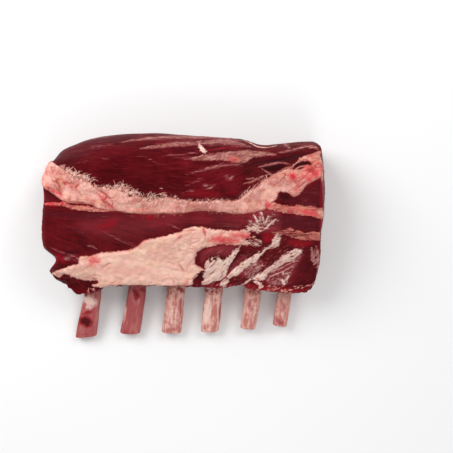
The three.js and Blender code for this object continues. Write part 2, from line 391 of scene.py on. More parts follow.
GAP_UNDER_NET = [(109, 97), (118, 98), (129, 100), (139, 103)]  # between muscles, beside the slit
SLIT_END = [(151, 98), (158, 97), (166, 95)]
FORK_GAP = [(130, 59), (138, 57), (148, 55)]  # where the seam forks
GROOVES = [  # half width, depth and line of each, in millimetres
    (2.5, 2.0, [(76, 101), (107, 109), (139, 113), (163, 120)]),
    (3.6, 3.5, SLIT),
    (3.4, 3.5, GAP_UNDER_NET),
    (1.8, 2.0, SLIT_END),
    (2.5, 2.5, FORK_GAP),
    (2.0, 2.0, [(150, -68), (160, -68), (168, -67), (176, -70), (178, -74)]),
    (2.0, 1.2, [(-200, 62), (-187, 56), (-175, 51)]),
    (1.8, 1.2, [(-155, -33), (-140, -30), (-120, -24)]),
    (2.0, 1.5, [(-20, 4), (20, 19), (60, 12), (95, 16)]),
    (2.0, 1.5, [(24, -17), (20, -30), (26, -42)]),
]
EDGE_DIP = (0.0009, 0.004)  # how deep the meat dips beside the fat, and how far off it starts
RIDGE_HEIGHT = 0.0004  # of its fibres
BUNDLE_HEIGHT = 0.0007
SWELL_HEIGHT = 0.0008
TORN_HEIGHT = 0.0022  # along its ragged front
TRIMMED = [  # where the front is trimmed back: the middle, the reach and the cut, in metres
    ((-0.178, -0.082), 0.026, (0.004, 0.008)),
    ((-0.197, -0.031), 0.018, (0.011, 0.000)),
    ((-0.112, -0.080), 0.020, (0.000, 0.006)),
]

places, normals = places_of(muscle.data)
plan = in_plan(places)
grain = grain_of(places, plan)
fat_depth = np.maximum(
    seam_depth(places, normals, plan), top_depth(places, normals, plan, [COVER, *STRIPS]))
on_top = on_top_of(places, normals)
front = eased(-normals[:, 1], 0.2, 0.7) * eased(places[:, 2], 0.015, 0.03)
ridges = bumps(grain, np.array([0.05, 0.0042, 0.012]))
bundles = bumps(grain, np.array([0.09, 0.011, 0.02]), seed=6.1)
swells = bumps(places, 0.028, seed=3.7)
torn = bumps(places, 0.007, seed=2.2) + 0.6 * bumps(places, 0.0036, seed=4.4)
dip = EDGE_DIP[0] * (1 - eased(np.abs(fat_depth), 0, EDGE_DIP[1]))
groove = marks(plan, GROOVES) / 1000
lift = RIDGE_HEIGHT * ridges + BUNDLE_HEIGHT * bundles + SWELL_HEIGHT * swells
lift = lift + TORN_HEIGHT * torn * front - (dip + groove) * on_top
places = places + lift[:, None] * normals
for middle, reach, cut in TRIMMED:
    near = 1 - eased(np.linalg.norm(plan - middle, axis=1), 0, reach)
    places[:, :2] += near[:, None] * np.array(cut)
places[:, 2] = np.maximum(places[:, 2], 0.0)
move_to(muscle.data, places)
places, normals = places_of(muscle.data)
plan = in_plan(places)
on_top = on_top_of(places, normals) * (1 - on_cut_face(normals))

SILVER_LINES = [  # half width in millimetres, strength and line
    (4.5, 0.6, [(-9, 112), (13, 113), (33, 114), (59, 116), (86, 117), (110, 119), (127, 118)]),
    (2.2, 0.7, [(120, 119), (140, 122), (160, 127), (176, 130), (186, 131)]),
    (2.4, 0.8, [(137, 134), (141, 131), (147, 127)]),
    (2.6, 0.6, [(-4, 88), (11, 92), (25, 96), (42, 100), (59, 103), (79, 103), (90, 106)]),
    (1.2, 0.45, [(10, 79), (17, 82), (25, 85)]),
    (3.0, 0.8, [(-67, 126), (-43, 129), (-17, 132), (5, 134), (30, 134)]),
    (4.0, 0.9, [(5, 131), (25, 134), (45, 136), (59, 136), (75, 133), (90, 129)]),
    (2.0, 0.9, [(-97, 134), (-68, 139), (-34, 142), (5, 142), (42, 142), (80, 137)]),
    (1.2, 0.5, [(-34, 116), (-9, 118), (20, 120)]),
    (1.0, 0.5, [(-30, 111), (-12, 113), (8, 111)]),
    (1.0, 0.4, [(-80, 114), (-58, 114), (-41, 105), (-17, 103)]),
    (1.2, 0.5, [(-8, 63), (2, 66), (14, 66)]),
    (1.0, 0.35, [(-5, 72), (8, 77), (25, 83)]),
    (2.4, 0.35, [(-143, 127), (-129, 128), (-111, 131), (-97, 134)]),
    (2.0, 0.5, [(-121, 113), (-114, 112), (-109, 110)]),
    (1.2, 0.35, [(-166, 104), (-150, 107), (-137, 109)]),
    (1.6, 0.5, [(-125, 12), (-101, 0), (-80, -10), (-69, -13)]),
    (1.3, 0.45, [(-97, 39), (-83, 34), (-67, 27)]),
    (1.3, 0.45, [(-32, 22), (-16, 15), (-6, 10)]),
    (1.3, 0.7, [(-142, -12), (-134, -12), (-125, -17)]),
    (1.4, 0.5, [(-197, -10), (-179, -20), (-156, -27)]),
    (3.0, 0.6, [(-159, -31), (-152, -29), (-145, -29)]),
    (3.4, 0.7, [(-174, -31), (-165, -27), (-156, -26)]),
    (1.0, 0.35, [(-94, 0), (-83, -6), (-71, -9)]),
    (1.0, 0.3, [(-128, 32), (-108, 28), (-88, 24)]),
    (1.0, 0.3, [(-179, 22), (-158, 12), (-139, 5)]),
    (1.5, 0.3, [(161, 48), (175, 56)]),
    (3.0, 0.3, [(30, 20), (60, 16), (84, 19)]),
    (1.6, 0.8, [(182, -13), (180, -25), (181, -40)]),
    (1.4, 0.9, [(186, -14), (187, -30), (187, -46)]),
    (4.0, 0.35, [(30, -18), (45, -20), (60, -17)]),
    (3.0, 0.7, [(54, 87), (58, 85), (61, 82)]),
    (2.6, 0.8, [(60, 81), (63, 85), (68, 88)]),
    (2.6, 0.7, [(23, 74), (28, 72), (31, 69)]),
    (2.2, 0.6, [(30, 69), (35, 72), (41, 75)]),
]
# Purple films on the meat. Along the eye muscle's back edge at the left, the first one is a painted
# sheen.
VIOLET_FILMS_AND_SHEEN = [
    [(-190, 113), (-179, 121), (-165, 128), (-145, 137), (-134, 146), (-108, 150),
     (-77, 150), (-60, 150), (-80, 137), (-97, 134), (-117, 129), (-134, 121), (-151, 114),
     (-172, 111)],
    [(114, 32), (192, 27), (192, 13), (161, 12), (127, 14), (100, 22)],
    [(129, 59), (146, 58), (168, 70), (196, 79), (196, 48), (161, 46)],
    [(-205, 69), (-186, 60), (-173, 53), (-185, 52), (-205, 52)],
    [(-205, 40), (-160, 36), (-110, 34), (-110, 28), (-160, 28), (-205, 30)],
]
PALER = [  # a lighter red: the flat muscle in the middle
    [(-150, 10), (-140, 30), (-75, 30), (20, 32), (112, 32), (112, 20), (80, 18), (40, 18),
     (2, 20), (-36, 10), (-90, 0)],
]
HAZY = [  # where a thin mauve film is left on the meat
    [(20, -22), (29, -14), (54, -11), (72, -14), (66, -26), (44, -24), (34, -26), (22, -34)],
    [(88, 12), (96, 36), (128, 38), (134, 14), (112, 8)],
    [(66, -50), (84, -36), (104, -30), (106, -42), (88, -54)],
    [(52, -56), (62, -44), (74, -30), (86, -24), (84, -32), (70, -46), (60, -56)],
    [(112, -58), (127, -43), (150, -28), (164, -24), (155, -42), (140, -66), (120, -66)],
]
FLECKED = [  # where torn shreds of fat are left on the meat
    [(64, -24), (100, -18), (134, -2), (160, -8), (168, -24), (150, -48), (140, -70),
     (80, -70), (56, -62)],
    [(95, 34), (126, 34), (128, 14), (95, 14)],
    [(-5, -64), (90, -66), (140, -66), (140, -78), (90, -82), (-5, -78)],
]
LACE = [  # where the seam's edge is teased out: half width, strength and line
    (4.5, 0.9, [(-179, 100), (-170, 95), (-165, 92)]),
    (7.0, 1.0, [(-166, 91), (-158, 86), (-148, 82), (-139, 79)]),
    (4.5, 0.7, [(-139, 79), (-130, 74), (-122, 71)]),
    (5.0, 0.8, [(-122, 71), (-112, 70), (-103, 69)]),
    (7.5, 1.0, [(-103, 69), (-91, 69), (-80, 65), (-70, 60)]),
    (6.5, 0.9, [(-70, 59), (-58, 55), (-46, 54), (-34, 56)]),
    (4.0, 0.6, [(-34, 56), (-25, 56), (-12, 54)]),
    (3.5, 0.5, [(-12, 53), (10, 51), (40, 52), (70, 53)]),
    (4.0, 0.6, [(70, 53), (80, 59), (90, 67), (101, 73), (112, 81), (124, 88)]),
]
LOWER_LACE = [
    (6.0, 0.12, [(-70, 34), (-48, 32), (-20, 31), (14, 34)]),
    (5.0, 0.1, [(14, 35), (40, 35), (70, 33), (100, 36)]),
]
DEEPER = [  # a darker red: the left end of the eye muscle
    [(-196, 104), (-165, 116), (-110, 122), (-60, 116), (-30, 96), (-60, 74), (-100, 78),
     (-140, 90)],
    [(60, 106), (110, 110), (150, 114), (176, 122), (170, 108), (120, 96), (80, 92)],
]
CRIMSON = [
    (7, 0.5, [(-12, 62), (20, 62), (60, 62)]),
    (6, 0.4, [(50, 60), (75, 68)]),
    (5, 1.0, [(108, 2), (116, 0), (125, 4)]),
    (5, 0.9, [(140, -5), (155, -9), (170, -8), (182, -8)]),
    (6, 0.7, [(-92, 26), (-110, 18), (-125, 15)]),
    (4, 0.9, [(-186, -22), (-178, -30), (-170, -34)]),
    (4.5, 1.2, [(0, -72), (30, -71), (60, -70), (90, -72), (120, -74), (160, -76), (180, -68)]),
    (4.0, 1.3, [(190, 92), (193, 80), (194, 45), (193, 10), (190, -30), (184, -60)]),
    (2.2, 1.0, [(-56, 34), (-53, 29), (-52, 24)]),
    (1.6, 0.9, [(-49, 33), (-48, 25)]),
    (1.2, 0.7, [(-12, 118), (25, 123), (62, 128), (79, 129)]),
    (3.0, 0.9, [(-198, 48), (-186, 47), (-176, 48)]),
]
# Painted shade: near-black red painted into the slits, gaps, grooves and creases, and faintly over the
# back of the eye muscle at the left.
PAINTED_SHADE_LINES = [
    (3.4, 0.9, [(84, 101), (107, 107), (139, 111), (163, 117), (176, 121)]),
    (4.0, 1.6, SLIT),
    (2.4, 1.4, SLIT_BELOW),
    (3.8, 1.5, GAP_UNDER_NET),
    (3.0, 1.4, NOTCH),
    (1.8, 1.0, SLIT_END),
    (3.0, 0.9, FORK_GAP),
    (6.0, 0.5, [(140, 54), (160, 58), (180, 66)]),
    (2.0, 0.7, [(-12, 8), (2, 17), (20, 18), (40, 14), (76, 12)]),
    (3.0, 0.8, [(96, 3), (102, 1), (106, 0)]),
    (4.0, 0.6, [(66, -14), (76, -16), (90, -17)]),
    (3.0, 0.8, [(12, -60), (18, -54), (24, -50)]),
    (4.0, 0.6, [(-150, -62), (-135, -70), (-120, -72)]),
    (3.4, 0.8, [(-174, -23), (-162, -20), (-150, -22)]),
    (2.0, 0.6, [(20, 104), (40, 105), (60, 106)]),
    (1.5, 0.7, [(-9, 122), (25, 127), (60, 131), (86, 126)]),
    (7.0, 0.35, [(-175, 112), (-150, 118), (-120, 124)]),
    (1.4, 0.8, [(-154, 84), (-146, 82), (-140, 81)]),
    (3.2, 0.9, [(-79, 66), (-79, 60)]),
    (1.6, 0.9, [(-90, 66), (-86, 65)]),
    (2.0, 0.6, [(-176, 56), (-190, 62), (-200, 64)]),
]
LOOSENED = [  # where a layer is torn open: half width, how much of it, and line
    (7.0, 0.85, [(80, 12), (92, 7), (102, 0), (110, -8)]),
    (7.0, 1.1, [(80, 0), (92, -4), (102, -7), (114, -10)]),
    (6.0, 0.35, [(50, 12), (66, 11), (82, 8)]),
    (7.0, 0.85, [(116, 7), (150, 5), (192, 2)]),
    (7.0, 0.4, [(116, -54), (134, -46), (152, -34)]),
    (4.0, 0.3, [(-186, -52), (-174, -46)]),
]
FILM_EDGE = 6  # how wide the edge of a film is, in millimetres
HAZE_EDGE = 8
RED_EDGE = 26  # and how wide a change in the red of the meat
BARE = 0.4  # where a layer is torn open by more than this, no fat is painted under it
CUT_VEINS = [  # fat between the muscles on a cut face: half width, strength, and line in Y and Z
    (2.0, 1.0, [(102, 92), (99, 78), (93, 60), (80, 45), (60, 35), (36, 29)]),
    (1.2, 0.9, [(80, 45), (86, 30), (98, 17)]),
    (1.7, 0.9, [(38, 84), (36, 72), (29, 54), (12, 42), (-8, 35), (-34, 28)]),
    (0.9, 0.8, [(122, 64), (113, 48), (118, 30)]),
    (0.9, 0.8, [(12, 42), (4, 52), (-12, 56)]),
]
face = on_cut_face(normals)
buried_fat = np.maximum(
    seam_depth(places, normals, plan), top_depth(places, normals, plan, [COVER]))
store(
    muscle.data,
    vein=face * marks(places[:, 1:], CUT_VEINS),
    hazy=on_top * sheets(plan, HAZY, HAZE_EDGE),
    fat=np.minimum(buried_fat, (BARE - marks(plan, LOOSENED)) * FAR),
    grain=grain_of(places, plan),
    comb=comb_of(places, plan),
    silver=on_top * marks(plan, SILVER_LINES),
    paler=on_top * sheets(plan, PALER, RED_EDGE),
    deeper=on_top * sheets(plan, DEEPER, RED_EDGE),
    lace=on_top * marks(plan, LACE + LOWER_LACE),
    violet=on_top * sheets(plan, VIOLET_FILMS_AND_SHEEN, FILM_EDGE),
    flecked=on_top * sheets(plan, FLECKED, FILM_EDGE),
    crimson=on_top * marks(plan, CRIMSON),
    dark=on_top * marks(plan, PAINTED_SHADE_LINES),
    cut=face,
    back=eased(normals[:, 1], 0.8, 0.97),
    under=eased(-normals[:, 2], 0.2, 0.6),
)


class Shade:
    """One socket of a material. Sums and products of it add Math nodes."""

    def __init__(self, tree, socket=None):
        self.tree = tree
        self.socket = socket

    def node(self, kind, settings, sockets, output=None):
        """A new node, with its settings, and the values or links of its sockets."""
        made = self.tree.nodes.new("ShaderNode" + kind)
        for name, value in settings.items():
            setattr(made, name, value)
        for name, value in sockets.items():
            open_sockets = [s for s in made.inputs if s.enabled]
            socket = (made.inputs[name] if isinstance(name, int)
                      else next(s for s in open_sockets if s.name == name))
            if isinstance(value, Shade):
                self.tree.links.new(value.socket, socket)
            else:
                socket.default_value = value
        results = [s for s in made.outputs if s.enabled]
        return Shade(self.tree, next(s for s in results if output in (None, s.name)))

    def math(self, operation, *values):
        return self.node("Math", {"operation": operation}, dict(enumerate(values)))

    def __add__(self, other):
        return self.math("ADD", self, other)

    __radd__ = __add__

    def __sub__(self, other):
        return self.math("SUBTRACT", self, other)

    def __rsub__(self, other):
        return self.math("SUBTRACT", other, self)

    def __mul__(self, other):
        return self.math("MULTIPLY", self, other)

    __rmul__ = __mul__

    def step(self, low, high):
        """0 below low, 1 above high, with a soft step between them."""
        return self.node(
            "MapRange", {"interpolation_type": "SMOOTHSTEP"},
            {"Value": self, "From Min": low, "From Max": high},
        )

    def over(self, under, paint):
        """This much of a paint over another. Each is a Shade, or a colour as rgb takes it."""
        under, paint = (c if isinstance(c, Shade) else rgb(*c) for c in (under, paint))
        return self.node(
            "Mix", {"data_type": "RGBA"}, {"Factor": self, "A": under, "B": paint})

    def field(self, name, output="Fac"):
        """What is stored on the mesh under this name."""
        return self.node("Attribute", {"attribute_name": name}, {}, output)

    def pattern(self, kind, settings, size, sockets, output):
        """A texture on this vector, with features about as large as size, or its three sizes."""
        sizes = size if isinstance(size, tuple) else (size,) * 3
        scaled = self.node("VectorMath", {"operation": "DIVIDE"}, {0: self, 1: sizes})
        return self.node(kind, settings, {"Vector": scaled, "Scale": 1.0, **sockets}, output)

    def noise(self, size, detail=3.0, roughness=0.5):
        return self.pattern(
            "TexNoise", {}, size, {"Detail": detail, "Roughness": roughness}, "Fac")

    def cells(self, size):
        """How far this vector is from the walls between cells."""
        return self.pattern(
            "TexVoronoi", {"feature": "DISTANCE_TO_EDGE"}, size, {}, "Distance")


def rgb(red, green, blue):
    """A colour as it shows on a screen, 0 to 255, in the linear light that shaders use."""
    linear = [(c / 255 / 12.92) if c < 11 else ((c / 255 + 0.055) / 1.055) ** 2.4
              for c in (red, green, blue)]
    return (*linear, 1.0)


def coats(tone, *paints):
    """A colour with paints over it. Each has how much of it lies where, and its colour."""
    for share, colour in paints:
        tone = share.over(tone, colour)
    return tone


def new_material(name):
    """A material, its shader, and where each point of a piece is, as a Shade."""
    material = bpy.data.materials.new(name)
    material.use_nodes = True
    where = Shade(material.node_tree).node("TexCoord", {}, {}, "Object")
    return material, material.node_tree.nodes["Principled BSDF"], where


BUMP_STRENGTH = 0.6


def moist(shader, tone, rough, glow, radius, specular=0.16, height=None, distance=0.0):
    """A moist, slightly translucent surface. tone, rough and height, its fine relief, change
    over it; height is 0 to 1, and distance is what 1 stands for."""
    links = {"Base Color": tone, "Roughness": rough}
    if height:
        links["Normal"] = height.node(
            "Bump", {}, {"Strength": BUMP_STRENGTH, "Distance": distance, "Height": height})
    for socket, shade in links.items():
        shade.tree.links.new(shade.socket, shader.inputs[socket])
    for socket, value in (("Specular IOR Level", specular), ("Subsurface Weight", glow),
                          ("Subsurface Radius", radius), ("Subsurface Scale", 1.0)):
        shader.inputs[socket].default_value = value


def dress(piece, material):
    """Smooth faces, a material and a body for a finished piece."""
    piece.data.materials.clear()
    piece.data.materials.append(material)
    for polygon in piece.data.polygons:
        polygon.use_smooth = True
    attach(piece, "root")


meat_material, shader, where = new_material("raw_beef")
along = where.field("grain", "Vector")
comb = where.field("comb", "Vector")
fibres = along.noise((0.026, 0.0026, 0.004), detail=5.0, roughness=0.7)
fine = along.noise((0.009, 0.0011, 0.0018), detail=3.0, roughness=0.65)
clouds = where.noise(0.03, detail=4.0)
speckle = where.noise(0.0024, detail=4.0, roughness=0.65)
depth_of_red = clouds * 0.5 + fibres * 0.3 + speckle * 0.2
red_mask = where.field("crimson") + (clouds - 0.5) * 0.4
film = where.field("violet")
lean = coats(
    (72, 1, 8),
    (depth_of_red.step(0.38, 0.62), (104, 12, 21)),
    (fibres.step(0.52, 0.74) * 0.4, (128, 32, 40)),
    (fibres.step(0.46, 0.3) * 0.55, (50, 1, 5)),
    (fine.step(0.54, 0.74) * 0.3, (138, 50, 56)),
    (where.field("paler") * (0.1 + 0.5 * fibres), (146, 50, 58)),
    (where.field("deeper") * 0.36, (48, 0, 4)),
    (where.field("hazy") * (0.2 + 0.65 * fibres), (156, 54, 64)),
    # Purple film, a painted sheen at the back edge, with lilac streaks on it that are painted
    # highlights.
    (film * 0.6, (80, 16, 25)),
    (film * fibres.step(0.5, 0.68) * 0.18, (122, 62, 76)),
    (red_mask.step(0.1, 0.8) * 0.8, (144, 12, 28)),
)

# A cut face shows bundles of fibres end on, with flecks, veins and lines of fat.
flecks = where.noise(0.0042, detail=3.0).step(0.58, 0.66) * where.noise(0.02).step(0.5, 0.62)
veins = (where.noise(0.02, detail=5.0, roughness=0.6) - 0.5).math("ABSOLUTE")
marbling = veins.step(0.026, 0.008) * where.noise(0.03).step(0.4, 0.54)
vein = where.field("vein")
broken = (where.noise(0.007, detail=3.0) - 0.5) * 2.4
fat_line = (vein + broken + (speckle - 0.5) * 0.9) * vein.step(0.0, 0.15)
face_red = coats(
    (98, 8, 16),
    ((clouds * 0.6 + speckle * 0.4).step(0.4, 0.6), (140, 28, 36)),
    (where.cells(0.0038).step(0.12, 0.0) * 0.14, (168, 66, 66)),
    (flecks * 0.7, (204, 140, 128)),
    (marbling * 0.85, (222, 170, 156)),
    (fat_line.step(0.3, 0.6) * 0.85, (220, 164, 150)),
)

# Over all of it lie films, shadows, silverskin, and the threads and rim of the fat.
cut = where.field("cut")
roll = (cut * (1.0 - cut) * 4.0).step(0.2, 0.8)
sinewy = along.noise((0.06, 0.012, 0.007), detail=4.0, roughness=0.6)
back_film = where.field("back") * sinewy.step(0.53, 0.62)
membrane = where.field("under") + (clouds - 0.5) * 0.6
shadow = where.field("dark") + (speckle - 0.5) * 0.4
fleck = where.field("flecked")
torn = comb.noise((0.009, 0.0022, 0.004), detail=4.0, roughness=0.7)
silverskin = where.field("silver")
streaked = silverskin + (silverskin.step(0.02, 0.15) * (fibres + fine - 1.0)) * 1.5
edge_of_fat = where.field("fat")
laced = where.field("lace").step(0.0, 0.4)
threads = comb.noise((0.0065, 0.0016, 0.003), detail=4.0, roughness=0.7) + edge_of_fat * 16.0
ragged = edge_of_fat + (speckle - 0.5) * 0.004 + (clouds - 0.5) * 0.003
painted = coats(
    lean,
    (cut * 0.95, face_red),
    (roll * 0.75, (122, 8, 20)),
    (back_film * 0.6, (146, 78, 80)),
    (back_film * fibres.step(0.5, 0.66) * 0.6, (206, 150, 142)),
    (membrane.step(0.3, 1.0) * 0.6, (158, 92, 90)),
    (shadow.step(0.15, 0.95) * 0.85, (44, 3, 8)),
    (fleck * torn.step(0.55, 0.62) * 0.4, (150, 66, 70)),
    (fleck * torn.step(0.61, 0.68) * 0.6, (204, 156, 148)),
    (streaked.step(0.1, 0.6) * 0.7, (140, 64, 68)),
    (streaked.step(0.45, 0.95) * 0.8, (206, 154, 146)),
    (laced * threads.step(0.46, 0.5) * 0.6, (170, 92, 88)),
    (laced * threads.step(0.5, 0.55) * 0.85, (222, 168, 154)),
    (ragged.step(-0.0018, 0.0) * 0.5, (134, 46, 46)),
    (ragged.step(-0.0004, 0.0012), (206, 140, 126)),
)
moist(
    shader, painted, 0.4 + 0.25 * speckle + 0.3 * roll, glow=0.1, radius=(0.004, 0.001, 0.0008),
    specular=0.08, height=fibres * 0.45 + fine * 0.3 + speckle * 0.25, distance=0.0012)
dress(muscle, meat_material)
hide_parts("meat")


# ---- The fat ----------------------------------------------------------------------------
# The seam of fat between the eye muscle and the flat one, the sheet of fat left on over the
# ribs, and the white strips that the knife left at the right. All are soft, with rounded
# edges, and torn where they were trimmed.

muscle_places, muscle_normals = places_of(muscle.data)
muscle_plan = in_plan(muscle_places)
FAT_BELOW = 0.0012  # how thick a layer is where it lies in the meat
FAT_LEAST = 0.2  # how far it stands out of the meat at least, in millimetres
PATCH_MARGIN = 0.006  # how far past its outline a layer may be torn out
FRAYED = 0.8  # where frays tear it by more than this, in millimetres, its faces are finer


def show_only(piece, share):
    """Cuts away what lies buried: all but the places with a share over 0, and those round
    them with one over -1."""
    shape = bmesh.new()
    shape.from_mesh(piece.data)
    shape.verts.ensure_lookup_table()
    reached = share > 0
    queue = list(np.flatnonzero(reached))
    while queue:
        vert = shape.verts[queue.pop()]
        for edge in vert.link_edges:
            other = edge.other_vert(vert).index
            if not reached[other] and share[other] > -1:
                reached[other] = True
                queue.append(other)
    buried = [vert for vert in shape.verts if not reached[vert.index]]
    bmesh.ops.delete(shape, geom=buried, context="VERTS")
    shape.to_mesh(piece.data)
    shape.free()


EDGE_WIDTH = 1.8  # of a layer's rounded edge, in thicknesses
WEAVE_DEPTH = 0.003  # how far inside its outline holes are torn into it
SHRED_HEIGHT = 6.0  # the third size of the shreds, in millimetres
TEETH = np.array([0.009, 0.0026, 0.005])  # the sizes of the shreds in a frayed edge
FINE_TEETH = np.array([0.005, 0.0013, 0.003])
FOLD_HEADINGS = (-38, 32)  # how the folds run at the left and at the right, in degrees
FOLD_SIZES = np.array([0.032, 0.009, 0.02])
FOLD_DRIFT = (0.004, 0.011)  # how far a fold strays, and over what length
CREASE_DEPTH = 1.3


def fat_layer(name, depth_at, finish, thickness, tear, shred, frays, lumps, creases=(),
              plump=None, sink=0.4, open_weave=0.0, wrinkles=0.0):
    """A layer on the meat, where depth_at is positive: thick in millimetres, its edge torn by
    as much as tear into shreds of a length and width, and by more along its frays. Its face
    is as uneven as lumps and folded as deep as wrinkles. plump gives more thickness by place,
    sink is how far its thin edge lies in the meat, and open_weave is how much of it is torn
    into holes."""
    depth = depth_at(muscle_places, muscle_normals, muscle_plan)
    shape = bmesh.new()
    shape.from_mesh(muscle.data)
    outside = [vert for vert, d in zip(shape.verts, depth) if d < -PATCH_MARGIN]
    bmesh.ops.delete(shape, geom=outside, context="VERTS")
    bmesh.ops.subdivide_edges(shape, edges=shape.edges, cuts=1, use_grid_fill=True)
    fray = marks(in_plan(np.array([vert.co for vert in shape.verts])), frays)
    frayed = {vert for vert, tear_here in zip(shape.verts, fray) if tear_here > FRAYED}
    fine = [edge for edge in shape.edges if frayed.issuperset(edge.verts)]
    bmesh.ops.subdivide_edges(shape, edges=fine, cuts=1, use_grid_fill=True)
    bmesh.ops.smooth_vert(shape, verts=shape.verts, factor=0.5, use_axis_x=True,
                          use_axis_y=True, use_axis_z=True)
    piece = new_piece(name, shape)
    places, normals = places_of(piece.data)
    plan = in_plan(places)
    grain = grain_of(places, plan)
    sizes = np.array([*shred, SHRED_HEIGHT]) / 1000
    depth = depth_at(places, normals, plan) + tear / 1000 * (
        bumps(grain, sizes, seed=1.3) + 0.7 * bumps(grain, sizes * 0.45, seed=8.1))
    comb = comb_of(places, plan)
    fingers = bumps(comb, TEETH, seed=3.3) + 0.7 * bumps(comb, FINE_TEETH, seed=6.6)
    depth = depth + marks(plan, frays) / 1000 * fingers
    weave = open_weave + marks(plan, LOOSENED) - marks(plan, CLOSED)
    gaps = bumps(grain, sizes * 0.7, seed=4.2) + 0.5 * bumps(grain, sizes * 0.3, seed=3.1)
    depth = np.where(weave > 0.02, np.minimum(depth, (1 - weave - gaps) * WEAVE_DEPTH), depth)
    thick = thickness + (plump(plan) if plump else 0)
    share = np.clip(depth * 1000 / (EDGE_WIDTH * thickness), -1, 1)
    rounded = np.where(share > 0, np.sqrt(1 - (1 - np.maximum(share, 0)) ** 2), share)
    uneven = lumps * (bumps(places, 0.014, seed=5.0) + 0.6 * bumps(places, 0.006, seed=2.0)
                      + 0.35 * bumps(places, 0.0028, seed=9.0))
    crease = marks(plan, creases) if creases else np.zeros(len(plan))
    if wrinkles:
        drift = FOLD_DRIFT[0] * bumps(places, FOLD_DRIFT[1], seed=1.9)
        folding = turned(places + drift[:, None], np.where(plan[:, 0] < 0, *FOLD_HEADINGS))
        folds = 1 - eased(np.abs(bumps(folding, FOLD_SIZES, seed=2.6)), 0, 0.13)
        folds = folds * (0.25 + 0.75 * sheets(plan, WRINKLED, 18))
        crease = np.maximum(crease, wrinkles * folds)
    lift = thick * rounded + (uneven - CREASE_DEPTH * crease) * np.clip(share, 0, 1)
    lift = np.where(share > 0, np.maximum(lift, (sink + FAT_LEAST) * rounded), lift)
    move_to(piece.data, places + (lift - sink)[:, None] / 1000 * normals)
    store(
        piece.data, edge=depth, crease=crease, grain=grain, comb=comb,
        lace=marks(plan, LACE + LOWER_LACE), blush=marks(plan, BLUSH), rust=marks(plan, RUST))
    show_only(piece, share)
    finish_with(piece, ("SOLIDIFY", {"thickness": FAT_BELOW, "offset": -1.0}))
    dress(piece, finish)
    return piece


NET = [  # of gristle over the gap beside the slit
    [(102, 100), (118, 103), (134, 106), (147, 104)],
    [(106, 98), (114, 93), (122, 89), (136, 96), (149, 102)],
    [(80, 76), (93, 80), (107, 86), (121, 92)],
]
CLOSED = [  # where a layer stays whole: half width, how much of it, and line
    (4.0, 0.8, [(180, -14), (182, -30), (184, -48)]),
    (6.0, 0.3, [(92, 16), (104, 24), (108, 32)]),
    (6.0, 0.3, [(98, 17), (112, 23), (126, 30)]),
    (7.0, 0.38, [(50, 115), (66, 116), (84, 117), (104, 118), (124, 118)]),
    *((3.0, 0.4, line) for line in NET),
]
WRINKLED = [  # where the fat is folded most
    [(-215, 110), (-180, 100), (-150, 78), (-105, 68), (-100, 38), (-150, 48), (-215, 60)],
    [(122, 56), (124, 88), (165, 115), (205, 125), (205, 84), (150, 55)],
    [(-195, -40), (-130, -26), (-120, -70), (-195, -70)],
    [(-20, -8), (20, 16), (100, 14), (100, -12), (20, -14), (12, -70), (-24, -70)],
]
BLUSH = [  # pink and red stains: half width in millimetres, strength and line
    (4.5, 1.3, [(145, 88), (150, 87), (156, 86)]),
    (7.0, 0.9, [(163, 84), (172, 84), (180, 80)]),
    (7.0, 1.15, [(166, 98), (177, 94), (186, 86)]),
    (4.0, 0.8, [(184, 110), (191, 98), (190, 88)]),
    (5.0, 0.6, [(158, 72), (164, 78)]),
    (3.0, 0.7, [(156, 66), (154, 72)]),
    (6.0, 0.6, [(-125, 60), (-118, 57), (-112, 54)]),
    (3.2, 1.0, [(-110, 48), (-107, 45), (-104, 42)]),
    (3.0, 0.8, [(-196, 72), (-186, 66), (-178, 60), (-174, 55)]),
    (3.0, 0.7, [(-204, 78), (-200, 90), (-194, 100)]),
    (2.6, 0.7, [(-174, 80), (-168, 76), (-160, 70)]),
    (2.2, 1.4, [(-177, 48), (-174, 48)]),
    (7.0, 0.8, [(-140, -34), (-132, -32), (-124, -33)]),
    (7.0, 0.95, [(28, 0), (44, -2), (60, -4), (78, -4)]),
    (6.0, 0.8, [(54, 5), (70, 4), (88, 2), (98, -2)]),
    (3.4, 1.0, [(-204, 49), (-192, 48), (-182, 48)]),
    (2.0, 0.9, [(23, 14), (26, 8), (27, 2)]),
    (2.0, 0.7, [(-15, -3), (-5, 6)]),
    (5.0, 0.5, [(130, 44), (160, 40), (192, 34)]),
    (4.0, 0.9, [(112, 46), (121, 45)]),
    (4.0, 0.9, [(160, 38), (175, 35), (190, 32)]),
    (2.5, 0.7, [(-5, -68), (3, -60)]),
    (3.4, 0.65, [(58, 110), (66, 110), (74, 109)]),
    (2.0, 0.6, [(100, -55), (104, -62)]),
    (2.0, 0.6, [(-120, -22), (-95, -19), (-80, -17), (-66, -9), (-54, -2), (-33, 2), (-12, 7)]),
]
RUST = [
    (6.0, 0.3, [(107, 55), (120, 66), (135, 80)]),
    (7.0, 0.8, [(168, 112), (182, 106), (187, 96), (180, 90)]),
    (4.0, 0.5, [(62, 111), (76, 110)]),
    (3.0, 0.5, [(-20, -4), (-12, -6)]),
    (5.0, 0.6, [(70, 4), (80, 2)]),
    (3.0, 0.5, [(-188, -50), (-176, -46)]),
    (5.0, 0.5, [(-190, 92), (-180, 84), (-168, 74)]),
    (4.0, 0.5, [(-132, 55), (-120, 50), (-110, 47)]),
]
